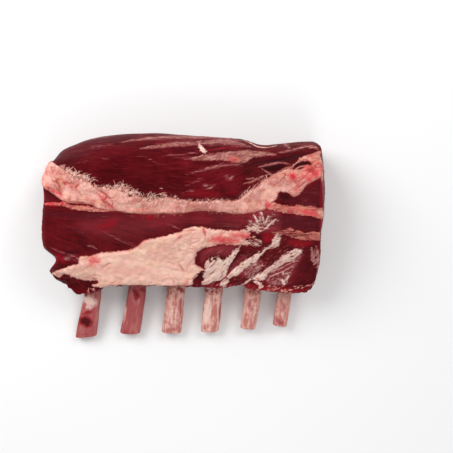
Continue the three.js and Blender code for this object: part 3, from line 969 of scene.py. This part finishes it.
# Creases in the seam: half width, depth and line. The fat is painted darker in them, as painted shade.
SEAM_CREASES = [
    (1.6, 1.2, [(-174, 79), (-172, 77), (-169, 74)]),
    (1.6, 1.0, [(-187, 72), (-180, 66), (-176, 60), (-173, 56)]),
    (1.3, 0.8, [(-154, 65), (-149, 60), (-145, 55)]),
    (1.4, 0.8, [(-164, 50), (-152, 49), (-138, 48)]),
    (1.2, 0.7, [(-134, 54), (-128, 52), (-124, 54)]),
    (1.5, 0.9, [(-110, 51), (-107, 46), (-101, 41)]),
    (1.0, 0.5, [(-190, 87), (-179, 79), (-168, 68)]),
    (1.0, 0.3, [(-97, 45), (-73, 42), (-52, 43)]),
    (1.0, 0.9, [(107, 65), (110, 67), (114, 67)]),
    (1.5, 0.8, [(149, 82), (156, 75), (161, 66)]),
    (1.4, 0.9, [(192, 84), (184, 83), (178, 84)]),
    (1.4, 0.9, [(160, 93), (170, 95), (180, 97), (186, 92)]),
    (1.4, 0.9, [(176, 112), (186, 112), (193, 109)]),
    (1.6, 1.0, [(-176, 52), (-161, 51), (-146, 50), (-138, 47)]),
    (0.9, 0.9, [(-63, 53), (-62, 50)]),
    (1.0, 0.9, [(-58, 51), (-49, 51)]),
]
SEAM_FRAYS = [(half_width, 4.2 * strength, line) for half_width, strength, line in LACE] + [
    (3.5, 1.8, [(-22, 33), (0, 34), (30, 37), (60, 34)]),
    (4.0, 2.5, [(124, 52), (129, 60), (140, 62), (152, 59), (162, 64), (172, 74), (186, 84)]),
    (4.0, 2.5, [(150, 106), (165, 115), (190, 123)]),
]
# Creases in the cover, painted darker like those in the seam, as painted shade.
COVER_CREASES = [
    (1.2, 0.8, [(-119, -44), (-111, -37), (-105, -36)]),
    (1.0, 0.9, [(-139, -54), (-131, -57), (-124, -58)]),
    (1.2, 0.9, [(-12, -34), (-6, -43), (-1, -50)]),
    (1.5, 0.9, [(11, -22), (13, -30), (15, -36)]),
    (1.2, 0.9, [(23, 12), (26, 6), (27, 0)]),
    (1.5, 0.8, [(-20, -58), (-16, -65)]),
    (1.0, 0.4, [(-111, -64), (-97, -61)]),
    (1.6, 0.9, [(-2, 8), (8, 11), (16, 10)]),
    (1.0, 0.5, [(-62, -9), (-50, -8), (-40, -6)]),
]
COVER_FRAYS = [
    (3.0, 1.6, [(-151, -27), (-125, -22), (-94, -19), (-69, -12), (-54, -2), (-33, 2), (-12, 7)]),
    (3.5, 2.4, [(2, 14), (23, 15), (46, 11), (73, 8)]),
    (4.5, 3.6, [(73, 10), (86, 9), (94, 6)]),
    (7.0, 4.5, [(90, 8), (99, 1), (106, -6), (100, -11)]),
    (4.5, 3.4, [(96, -11), (68, -10), (40, -10), (18, -18), (13, -32)]),
    (4.0, 3.0, [(22, -45), (10, -58), (6, -66)]),
    (3.0, 1.4, [(5, -67), (-26, -68), (-60, -67)]),
    (4.0, 2.0, [(-186, -51), (-172, -44), (-155, -37)]),
    (4.0, 3.0, [(-173, -52), (-158, -57), (-143, -61), (-124, -64)]),
]
STRIP_FRAYS = [
    (7.0, 3.4, [(24, -58), (34, -44), (50, -36), (74, -14)]),
    (7.0, 3.4, [(38, -60), (50, -50), (62, -36)]),
    (7.0, 3.0, [(58, -56), (84, -38), (108, -20), (128, 0)]),
    (7.0, 3.0, [(78, -66), (104, -54), (130, -34), (158, -20)]),
    (5.0, 3.4, [(80, 10), (96, 11), (110, 9)]),
    (5.0, 3.4, [(84, -8), (96, -6), (106, -8)]),
    (6.0, 3.0, [(42, -66), (58, -62)]),
    (6.0, 3.0, [(94, -62), (106, -70)]),
    (5.0, 2.0, [(127, -56), (138, -64), (146, -50)]),
]
BAND_FRAYS = [
    (7.0, 3.0, [(112, 46), (150, 42), (192, 34)]),
    (6.0, 2.0, [(-200, 48), (-170, 46), (-140, 42), (-104, 38)]),
    (7.0, 3.4, [(118, 8), (148, 6), (188, 3)]),
]


def fat_finish(name, dull, bright, stain, mottle, streaky=0.0, rim=(2.6, 0.5, (168, 76, 70)),
               frost=0.0):
    """Raw fat: two tones of it in clouds, stained pink, with small lobes and fine speckles.
    mottle is how strongly it is spotted, streaky how much it follows the grain, and rim how
    wide its thin red rim is, in millimetres, how strong and what colour. frost is how much
    of it the knife has teased out into white threads."""
    material, shader, where = new_material(name)
    along = where.field("grain", "Vector")
    blotches = where.noise(0.0065, detail=4.0, roughness=0.65)
    speckle = where.noise(0.0019, detail=4.0, roughness=0.7)
    teased = where.field("comb", "Vector").noise(
        (0.006, 0.0013, 0.003), detail=4.0, roughness=0.7)
    clouds = where.noise(0.018, detail=4.0) * (1 - streaky)
    clouds = clouds + along.noise((0.012, 0.0024, 0.004), detail=4.0, roughness=0.65) * streaky
    creamy = where.noise(0.013, detail=2.0).step(0.5, 0.66)
    gaps = (where.cells(0.0042) + (speckle - 0.5) * 0.12).step(0.09, 0.0)
    fuzz = where.field("lace").step(0.0, 0.5) + frost
    rust = where.field("rust") + (blotches - 0.5) * 0.5
    blush = where.field("blush")
    blush = blush + blush.step(0.0, 0.1) * (blotches + speckle - 1.0) * 1.1
    crease = where.field("crease") + (speckle - 0.5) * 0.3
    rim_width, rim_strength, rim_red = rim
    thin = (where.field("edge") + (speckle - 0.5) * 0.003).step(rim_width / 1000, 0.0)
    tone = coats(
        dull,
        (clouds.step(0.38, 0.62), bright),
        (creamy * 0.45, (bright[0] - 2, bright[1] + 8, bright[2] - 10)),
        (blotches.step(0.5, 0.68) * mottle, stain),
        (blotches.step(0.46, 0.32) * mottle, [c + 14 for c in bright]),
        (speckle.step(0.54, 0.7) * mottle, [c - 40 for c in dull]),
        (speckle.step(0.46, 0.32) * mottle, [c + 18 for c in bright]),
        (gaps * mottle * 0.2, stain),
        (fuzz * teased.step(0.46, 0.38) * 0.6, (160, 64, 60)),
        (fuzz * teased.step(0.5, 0.6) * 0.75, (238, 202, 188)),
        (rust.step(0.1, 0.9) * 0.7, (200, 112, 86)),
        (blush.step(0.1, 0.9) * 0.9, (217, 70, 78)),
        (blush.step(0.8, 1.2) * 0.8, (176, 34, 38)),
        # Painted shade: pink, then deep red, in the creases and folds.
        (crease.step(0.1, 0.6) * 0.28, (206, 104, 92)),
        (crease.step(0.5, 1.0) * 0.8, (142, 44, 42)),
        (thin * rim_strength, rim_red),
    )
    moist(
        shader, tone, 0.42 + 0.25 * blotches, glow=0.15, radius=(0.003, 0.0015, 0.0012),
        height=blotches * 0.35 + speckle * 0.4 + teased * 0.25, distance=0.0016)
    return material


seam_fat = fat_finish("seam_fat", (190, 116, 106), (232, 176, 163), (204, 90, 82), 0.55)
cover_fat = fat_finish("cover_fat", (230, 174, 158), (241, 193, 177), (216, 128, 116), 0.2)
white_fat = fat_finish(
    "white_fat", (206, 160, 150), (246, 218, 206), (186, 112, 108), 0.4, streaky=0.6,
    rim=(1.8, 0.7, (150, 62, 62)), frost=0.6)
stained_fat = fat_finish(
    "stained_fat", (162, 58, 54), (216, 136, 121), (152, 36, 38), 0.5, streaky=0.8,
    rim=(1.6, 0.7, (138, 40, 42)), frost=0.3)

seam = fat_layer(
    "fat_seam_layer", seam_depth, seam_fat, thickness=1.2, tear=1.2, shred=(7, 4),
    frays=SEAM_FRAYS, lumps=0.9, creases=SEAM_CREASES, wrinkles=0.9,
    plump=lambda plan: 2.2 * eased(-plan[:, 0], 0.13, 0.19))
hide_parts("fat_seam")
cover = fat_layer(
    "fat_cover_sheet", partial(top_depth, outlines=[COVER]), cover_fat, thickness=2.0, tear=1.5,
    shred=(5, 3.4), frays=COVER_FRAYS, lumps=0.5, creases=COVER_CREASES, wrinkles=0.5,
    plump=lambda plan: -1.1 * eased(plan[:, 0], 0.03, 0.075))
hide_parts("fat_cover")
PETALS = [  # half width and line of the shreds beside the cover's end
    (2.0, [(94, 33), (98, 27), (103, 18)]),
    (1.8, [(106, 36), (108, 29), (110, 20)]),
    (1.8, [(116, 31), (113, 24), (110, 17)]),
    (2.0, [(127, 27), (120, 21), (113, 15)]),
    (1.4, [(90, 23), (96, 19), (103, 16)]),
    (2.4, [(92, 15), (104, 14), (116, 13)]),
]
strips = fat_layer(
    "fat_strips", partial(top_depth, outlines=STRIPS, lines=PETALS), white_fat, thickness=0.9,
    tear=2.0, shred=(5, 2.4), frays=STRIP_FRAYS, lumps=0.5, open_weave=0.25)
PINK_BAND = [
    (-199, 50), (-180, 50), (-173, 52), (-167, 48), (-158, 46), (-150, 46), (-141, 45),
    (-134, 44), (-126, 42), (-115, 40), (-104, 40), (-104, 37), (-130, 37), (-146, 38),
    (-161, 40), (-171, 43), (-176, 45), (-199, 46),
]
bands = fat_layer(
    "fat_bands", partial(top_depth, outlines=[FORK, PINK_BAND, PALE_BAND]), stained_fat,
    thickness=0.8, tear=1.4, shred=(14, 2.6), frays=BAND_FRAYS, lumps=0.5, sink=0.2,
    open_weave=0.12)


# ---- The silverskin ---------------------------------------------------------------------
# Thin pale sheets of gristle over the eye muscle, streaked along it, and the net of it that
# crosses the dark gap beside the seam. Films as thin, mauve and torn, lie between the white
# strips and along the right edge.

SKIN_SHEETS = [
    [(-4, 111), (13, 115), (33, 119), (59, 122), (86, 124), (110, 122), (127, 119), (126, 116),
     (110, 116), (93, 112), (86, 107), (76, 105), (59, 108), (42, 109), (25, 109), (8, 110)],
]
SKIN_LINES = [
    (1.6, [(-97, 134), (-82, 137), (-68, 139), (-34, 142), (5, 142), (40, 142), (80, 137)]),
    (2.6, [(-67, 126), (-43, 129), (-17, 132), (5, 133), (30, 135), (59, 136), (90, 129)]),
    (1.3, [(11, 92), (25, 96), (42, 100), (59, 103), (79, 103)]),
    *zip((2.1, 2.0, 2.2), NET),
    (1.8, [(84, 84), (90, 83), (97, 86)]),
    (2.6, [(174, 127), (181, 128), (187, 125)]),
]
SKIN_FRAYS = [
    (7.0, 2.6, [(0, 111), (40, 114), (80, 116), (120, 118)]),
    (4.0, 1.8, [(-97, 134), (-60, 138), (-20, 141), (40, 142), (80, 138)]),
    (6.0, 2.6, [(-69, 126), (-20, 131), (30, 134), (60, 135), (92, 129)]),
    (3.0, 1.4, [(100, 100), (120, 104), (149, 104)]),
    (3.0, 1.4, [(104, 99), (122, 89), (150, 103)]),
    (3.0, 1.4, [(79, 76), (104, 85), (122, 92)]),
]
gristle = fat_finish(
    "silverskin", (130, 60, 58), (196, 138, 128), (146, 64, 62), 0.4, streaky=0.8,
    rim=(2.4, 0.8, (124, 46, 50)))
silver = fat_layer(
    "silverskin_sheets", partial(top_depth, outlines=SKIN_SHEETS, lines=SKIN_LINES), gristle,
    thickness=0.35, tear=1.0, shred=(16, 2.2), frays=SKIN_FRAYS, lumps=0.25, sink=0.12,
    open_weave=0.5)

FILMS = [  # thin and torn, between the strips
    [(112, -57), (127, -43), (149, -27), (163, -24), (155, -40), (147, -51), (138, -66),
     (118, -66)],
    [(82, -54), (86, -38), (98, -32), (108, -34), (106, -45), (92, -58)],
]
FILM_LINES = [  # frost above them, and shreds at the right edge
    (3.2, [(91, 15), (100, 21), (107, 29), (103, 37)]),
    (2.6, [(97, 17), (112, 23), (126, 34)]),
    (2.4, [(106, 16), (118, 21), (131, 25)]),
    (1.8, [(96, 15), (91, 20), (88, 27)]),
    (3.2, [(177, -14), (179, -28), (182, -42)]),
    (3.0, [(184, -12), (186, -26), (187, -40), (185, -52)]),
]
FILM_FRAYS = [
    (7.0, 3.0, [(112, -58), (128, -46), (160, -26)]),
    (7.0, 3.0, [(124, -64), (140, -56), (152, -40)]),
    (7.0, 3.0, [(82, -52), (94, -42), (108, -36)]),
    (7.0, 3.0, [(180, -12), (182, -32), (182, -54)]),
    (7.0, 3.4, [(90, 18), (106, 26), (124, 30)]),
]
mauve_film = fat_finish(
    "mauve_film", (122, 54, 62), (200, 146, 142), (114, 40, 48), 0.4, streaky=0.8,
    rim=(2.4, 0.7, (124, 46, 54)), frost=0.4)
films = fat_layer(
    "torn_films", partial(top_depth, outlines=FILMS, lines=FILM_LINES), mauve_film,
    thickness=0.35, tear=1.6, shred=(8, 1.6), frays=FILM_FRAYS, lumps=0.3, sink=0.15,
    open_weave=0.82)


# ---- Strands, hairs and scraps ----------------------------------------------------------
# What the knife left: fine white hairs of fat along the upper edge of the seam, tufts of white
# fibres, a loose sinew at the back, and shreds of membrane where the ribs come out.

skin_shape = bmesh.new()
for piece in (muscle, seam, cover, strips, bands, silver, films):
    skin_shape.from_mesh(piece.data)
for number in range(1, 7):
    skin_shape.from_mesh(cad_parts[f"rib_{number}"].data)
skin = BVHTree.FromBMesh(skin_shape)
skin_shape.free()


def on_skin(x, y, rise=0.0):
    """The place on the roast that shows at x, y in plan, raised off it: millimetres in,
    metres out. Beside the roast it is none."""
    target = Vector((x / 1000, y / 1000, 0))
    place, normal, _, _ = skin.ray_cast(EYE, target - EYE)
    return place and place + rise / 1000 * normal


FEWEST_PLACES = 4  # a strand with fewer places than this is left out


def strands(name, lines, pointed=True):
    """One piece of round strands. Each line is a radius in millimetres and its places."""
    shape = bpy.data.curves.new(name, "CURVE")
    shape.dimensions = "3D"
    shape.bevel_depth = 1.0
    shape.bevel_resolution = 1
    shape.use_fill_caps = True
    for radius, run in lines:
        if len(run) < FEWEST_PLACES:
            continue
        spline = shape.splines.new("POLY")
        spline.points.add(len(run) - 1)
        for i, (point, place) in enumerate(zip(spline.points, run)):
            share = i / (len(run) - 1)
            belly = math.sin(math.pi * (0.12 + 0.76 * share))
            taper = 1 - 0.75 * share ** 2 if pointed else belly
            point.co = (*place, 1)
            point.radius = radius / 1000 * taper
    drawn = bpy.data.objects.new(name, shape)
    bpy.context.collection.objects.link(drawn)
    graph = bpy.context.evaluated_depsgraph_get()
    piece = bpy.data.objects.new(name + "_mesh", bpy.data.meshes.new_from_object(
        drawn.evaluated_get(graph)))
    bpy.data.objects.remove(drawn)
    bpy.context.collection.objects.link(piece)
    piece.name = name
    return piece


DROP = 0.005  # a strand ends where the surface under it falls by more than this


def along_skin(points, radius, rise=0.3):
    """A strand's line over the roast through points in plan, up to the first edge."""
    run = []
    for x, y in curve(points, closed=False):
        place = on_skin(x * 1000, y * 1000, rise * radius)
        if place and run and abs(place.z - run[-1].z) > DROP:
            break
        if place:
            run.append(place)
    return radius, run


def tufts(places, thick, seed):
    """Strands in tufts: each has its middle, its heading and fan in degrees, how many there
    are, how long and how widely they are spread. thick is their least and most radius."""
    draw = random.Random(seed)
    lines = []
    for (x, y), heading, fan, count, length, spread in places:
        for _ in range(count):
            turn = math.radians(heading + draw.uniform(-fan, fan))
            bend = math.radians(draw.uniform(-45, 45))
            reach = length * draw.uniform(0.4, 1.2)
            start_x = x + draw.uniform(-spread, spread)
            start_y = y + draw.uniform(-spread, spread) * 0.4
            run = [(start_x + reach * share * math.cos(turn + bend * share),
                    start_y + reach * share * math.sin(turn + bend * share))
                   for share in (0.0, 0.3, 0.6, 1.0)]
            lines.append(along_skin(run, draw.uniform(*thick)))
    return lines


def sprays(lines, spacing, lengths, thick, seed):
    """Sprays of kinked strands rooted in the edge of the fat, to the left of each line's run.
    A line has its half width, its strength and its points; spacing is between sprays."""
    draw = random.Random(seed)
    made = []
    for _, strength, points in lines:
        run = curve(points, closed=False) * 1000
        for start, end in zip(run, run[1:]):
            along = end - start
            length = np.linalg.norm(along)
            outward = np.array([-along[1], along[0]]) / length
            for _ in range(round(length * strength ** 2 / spacing + draw.random() - 0.5)):
                root = start + along * draw.random() + outward * draw.uniform(-3.5, 2.5)
                heading = math.atan2(*outward[::-1]) + math.radians(draw.gauss(-15, 40))
                for _ in range(draw.randint(2, 6)):
                    turn = heading + math.radians(draw.uniform(-55, 55))
                    reach = draw.uniform(*lengths) * strength
                    place = root
                    strand = [tuple(place)]
                    for _ in range(4):
                        place = place + reach / 4 * np.array([math.cos(turn), math.sin(turn)])
                        turn += math.radians(draw.uniform(-45, 45))
                        strand.append(tuple(place))
                    made.append(along_skin(strand, draw.uniform(*thick)))
    return made


SHREDS = [  # white flecks round the ends of the strips
    ((140, -52), 60, 50, 8, 5, 5), ((128, -42), 38, 35, 6, 5, 7),
    ((100, -40), 38, 35, 7, 5, 7), ((68, -18), 45, 40, 6, 4, 5),
    ((106, 26), 60, 60, 12, 4, 9), ((118, 22), 35, 50, 8, 4, 7),
    ((92, 18), 130, 50, 6, 4, 5), ((36, -30), 75, 35, 6, 4, 8),
    ((-167, 92), 30, 60, 14, 9, 6), ((-156, 88), 30, 60, 14, 10, 6), ((-145, 85), 10, 50, 10, 9, 5),
    ((-135, 82), 40, 60, 8, 7, 4), ((-96, 72), 70, 60, 14, 9, 6), ((-85, 69), 40, 60, 12, 8, 5),
    ((-75, 64), 30, 60, 12, 9, 5), ((-50, 58), 40, 60, 8, 7, 6), ((-34, 60), 60, 60, 6, 6, 4),
]
COLLARS = [  # shreds of membrane round the ribs, where they come out of the meat
    ((30, -72), -20, 50, 30, 8, 9), ((44, -74), -60, 40, 10, 7, 4), ((94, -75), -20, 50, 26, 8, 9),
    ((140, -75), -30, 60, 18, 6, 7), ((-20, -72), -60, 40, 14, 8, 8), ((-135, -73), -70, 40, 8, 6, 6),
    ((158, -71), 5, 25, 8, 9, 8), ((172, -68), 30, 40, 5, 7, 5), ((60, -71), 0, 30, 12, 8, 10),
    ((118, -72), 0, 30, 12, 8, 9),
]
LOOSE = [  # radius and line of single strands
    (0.45, [(-154, 87), (-149, 88), (-146, 90), (-142, 92)]),
    (0.4, [(-148, 86), (-144, 88), (-141, 89)]),
    (0.45, [(-168, 97), (-165, 94), (-162, 92)]),
    (0.45, [(-114, 74), (-112, 72), (-110, 69)]),
    (0.35, [(-45, 60), (-38, 62), (-33, 64), (-28, 64)]),
    (0.45, [(-38, 70), (-35, 70), (-33, 69)]),
    (0.5, [(118, -55), (128, -51), (140, -46), (153, -37)]),
    (0.3, [(120, -48), (134, -43), (148, -35)]),
]
white_hairs = strands("white_hairs", sprays(LACE, 1.7, (2.5, 8.5), (0.2, 0.4), seed=11))
white_shreds = strands("white_shreds", tufts(SHREDS, (0.24, 0.45), seed=12) + [
    along_skin(line, radius) for radius, line in LOOSE])
membrane_shreds = strands("membrane_shreds", tufts(COLLARS, (0.4, 0.8), seed=13))

SINEW = [(79, 140), (84, 136), (91, 133), (101, 128), (115, 127), (128, 130)]
sinews = strands("sinews", [along_skin(SINEW, radius=1.0, rise=0.4)], pointed=False)

for finish, dull, bright, pieces in (
        ("white_strands", (204, 134, 122), (238, 198, 184), (white_hairs, white_shreds, sinews)),
        ("membrane", (166, 52, 54), (232, 172, 158), (membrane_shreds,))):
    material, shader, where = new_material(finish)
    tone = where.noise(0.004, detail=2.0).step(0.35, 0.65).over(dull, bright)
    moist(shader, tone, 0.4 + 0.2 * where.noise(0.003), glow=0.15, radius=(0.002, 0.001, 0.0008))
    for piece in pieces:
        dress(piece, material)


# ---- The ribs ---------------------------------------------------------------------------
# Six curved ribs, sawn off at both ends. The stretch that stands out of the meat is scraped,
# pinkish cream with rose streaks along it, and the sawn tips show the red marrow inside. Some
# of the rose on their right sides is painted shade, and some of the cream on their left is
# painted light.

RIB_VOXEL = 0.0011
RIB_SMOOTHING = 8
RIB_LEVELS = 30  # along it, at which its middle is measured
SAWN_ENDS = (0.012, 0.004)  # how far from its two ends a sawn face may lie
MARROW = (0.0105, 0.0048)  # half of its width and height
RIB_RIDGE_HEIGHT = 0.0003
RIB_SWELL_HEIGHT = 0.0006
ROSE_TONES = [0.8, 0.8, 0.18, -0.1, 0.25, 0.3]  # how rosy each rib is from the left
# Rose streaks: half width, strength and line. On the right sides of ribs 3 and 4 the rose is partly
# painted shade.
ROSE_AND_SHADE = [
    (5.0, 1.0, [(-151, -112), (-132, -109)]), (5.0, 1.0, [(-155, -138), (-131, -135)]),
    (4.0, 1.0, [(-93, -132), (-84, -135)]), (4.0, 0.9, [(-29, -74), (-26, -88)]),
    (3.0, 0.8, [(-8, -82), (-9, -116)]), (4.0, 0.8, [(-33, -132), (-12, -129)]),
    (2.0, 0.3, [(36, -85), (32, -125)]), (2.0, 0.8, [(49, -88), (46, -119)]),
    (3.5, 0.8, [(91, -85), (88, -101)]), (5.0, 1.0, [(125, -114), (138, -123)]),
    (3.0, 0.7, [(139, -91), (137, -106)]),
]
BLOOD = [
    (5.5, 1.6, [(-149, -117), (-143, -118), (-135, -122)]),
    (4.5, 1.5, [(-141, -113), (-140, -126)]), (1.5, 0.8, [(-158, -116), (-145, -116)]),
    (3.4, 0.75, [(-151, -110), (-141, -106), (-131, -103)]),
    (1.5, 0.9, [(-141, -78), (-143, -84)]), (1.5, 0.8, [(-129, -81), (-128, -84)]),
    (4.0, 1.0, [(-77, -71), (-70, -82), (-74, -87)]), (3.0, 0.8, [(-66, -72), (-57, -75)]),
    (3.0, 0.9, [(-13, -70), (-3, -77)]), (0.8, 0.8, [(-15, -77), (-15, -92)]),
    (2.5, 0.7, [(40, -71), (49, -78)]), (1.0, 0.7, [(29, -80), (42, -80)]),
    (3.0, 0.6, [(86, -75), (107, -78)]), (3.0, 0.6, [(134, -75), (151, -78)]),
    (1.2, 0.7, [(-158, -130), (-162, -138)]),
]
# Cream patches. On the left edges of ribs 2 and 4 the cream is partly painted light.
CREAM_AND_LIGHT = [
    (7.0, 1.1, [(-147, -84), (-129, -94)]), (5.0, 0.8, [(-144, -97), (-132, -99)]),
    (2.0, 0.8, [(-84, -90), (-90, -125)]), (3.0, 0.8, [(-20, -95), (-22, -125)]),
    (5.0, 1.1, [(20, -74), (40, -74)]), (6.0, 1.0, [(32, -84), (28, -124)]),
    (3.4, 0.7, [(98, -86), (93, -123)]),
]

bone_material, shader, where = new_material("scraped_bone")
run = where.field("run", "Vector")
streaks = run.noise((0.0026, 0.016, 0.004), detail=4.0, roughness=0.6)
broad = run.noise((0.006, 0.03, 0.01), detail=3.0)
speckle = where.noise(0.0017, detail=4.0, roughness=0.7)
blotches = where.noise(0.006, detail=4.0, roughness=0.6)
rosy = where.field("rose") + (broad - 0.5) * 1.6 + (blotches - 0.5) * 0.7
veined = (streaks - 0.5).math("ABSOLUTE").step(0.02, 0.0)
pale = where.field("cream") + (streaks + speckle - 1.0) * 0.9
bloody = where.field("blood") + (blotches - 0.5) * 0.9
pores = where.noise(0.0011, detail=2.0).step(0.4, 0.6).over((96, 24, 24), (176, 86, 72))
bone = coats(
    (186, 112, 104),
    ((broad * 0.35 + blotches * 0.35 + streaks * 0.3).step(0.42, 0.58), (230, 182, 168)),
    (speckle.step(0.55, 0.7) * 0.4, (240, 206, 194)),
    # Rose, partly painted shade on the right sides of ribs 3 and 4.
    (rosy.step(0.2, 1.0) * 0.9, (154, 54, 62)),
    (veined * 0.15, (160, 60, 62)),
    # Cream, partly painted light on the left edges of ribs 2 and 4.
    (pale.step(0.3, 0.9) * 0.85, (236, 204, 192)),
    (bloody.step(0.2, 0.7) * 0.85, (138, 14, 26)),
    (bloody.step(0.7, 1.05) * 0.85, (60, 3, 10)),
    (where.field("marrow"), pores),
)
moist(
    shader, bone, 0.42 + 0.25 * blotches, glow=0.1, radius=(0.003, 0.0012, 0.001),
    height=streaks * 0.5 + speckle * 0.5, distance=0.0012)

for number, tone in enumerate(ROSE_TONES, start=1):
    node = f"rib_{number}"
    rib = new_piece(f"rib_bone_{number}", merged(node))
    remesh(rib, RIB_VOXEL, RIB_SMOOTHING)
    places, normals = places_of(rib.data)
    low, high = places[:, 1].min(), places[:, 1].max()
    levels = np.linspace(low, high, RIB_LEVELS)
    nearest = np.clip(np.searchsorted(levels, places[:, 1]), 1, RIB_LEVELS - 1)
    middle = np.array([
        places[nearest == max(level, 1)][:, (0, 2)].mean(0) for level in range(RIB_LEVELS)])
    off_x = places[:, 0] - np.interp(places[:, 1], levels, middle[:, 0])
    off_z = places[:, 2] - np.interp(places[:, 1], levels, middle[:, 1])
    run_of = np.stack([off_x, places[:, 1], off_z + number], axis=1)
    ridges = bumps(run_of, np.array([0.0035, 0.045, 0.006]))
    swells = bumps(places, 0.018, seed=number)
    sawn = eased(np.abs(normals[:, 1]), 0.7, 0.9) * (
        (places[:, 1] < low + SAWN_ENDS[0]) | (places[:, 1] > high - SAWN_ENDS[1]))
    lift = (RIB_RIDGE_HEIGHT * ridges + RIB_SWELL_HEIGHT * swells) * (1 - sawn)
    places = places + lift[:, None] * normals
    places[:, 2] = np.maximum(places[:, 2], 0.0)
    move_to(rib.data, places)
    plan = in_plan(places)
    core = 1 - eased(np.hypot(off_x / MARROW[0], off_z / MARROW[1]), 0.75, 1.0)
    store(
        rib.data, run=run_of, rose=np.maximum(tone, marks(plan, ROSE_AND_SHADE)),
        blood=marks(plan, BLOOD), cream=marks(plan, CREAM_AND_LIGHT), marrow=sawn * core)
    dress(rib, bone_material)
    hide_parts(node)


# ---- The table and the light ------------------------------------------------------------
# A plain white table in a room with soft light all round. A large lamp stands at the back
# left, and two smaller ones at the back right and in front.

TABLE_REACH = 3.0
ROOM_LIGHT = 0.42

table = bmesh.new()
bmesh.ops.create_grid(table, x_segments=1, y_segments=1, size=TABLE_REACH)
table = new_piece("table", table)
table_material, shader, _ = new_material("table_top")
shader.inputs["Base Color"].default_value = (0.88, 0.88, 0.88, 1)
shader.inputs["Roughness"].default_value = 0.7
table.data.materials.append(table_material)

world = bpy.data.worlds.new("room")
bpy.context.scene.world = world
world.use_nodes = True
background = world.node_tree.nodes["Background"]
background.inputs["Color"].default_value = (1, 1, 1, 1)
background.inputs["Strength"].default_value = ROOM_LIGHT


def soft_light(name, place, size, power):
    """A round lamp that points at the roast."""
    light = bpy.data.lights.new(name, "AREA")
    light.shape = "DISK"
    light.size = size
    light.energy = power
    lamp = bpy.data.objects.new(name, light)
    lamp.location = place
    lamp.rotation_euler = (-Vector(place)).to_track_quat("-Z", "Y").to_euler()
    bpy.context.collection.objects.link(lamp)
    return lamp


key = soft_light("key", (-1.0, 0.8, 1.15), 1.3, 22)
key.visible_glossy = False
soft_light("back_right", (0.9, 0.9, 1.3), 0.9, 9)
soft_light("front", (0.3, -1.2, 1.2), 0.9, 6)

bpy.context.view_layer.update()
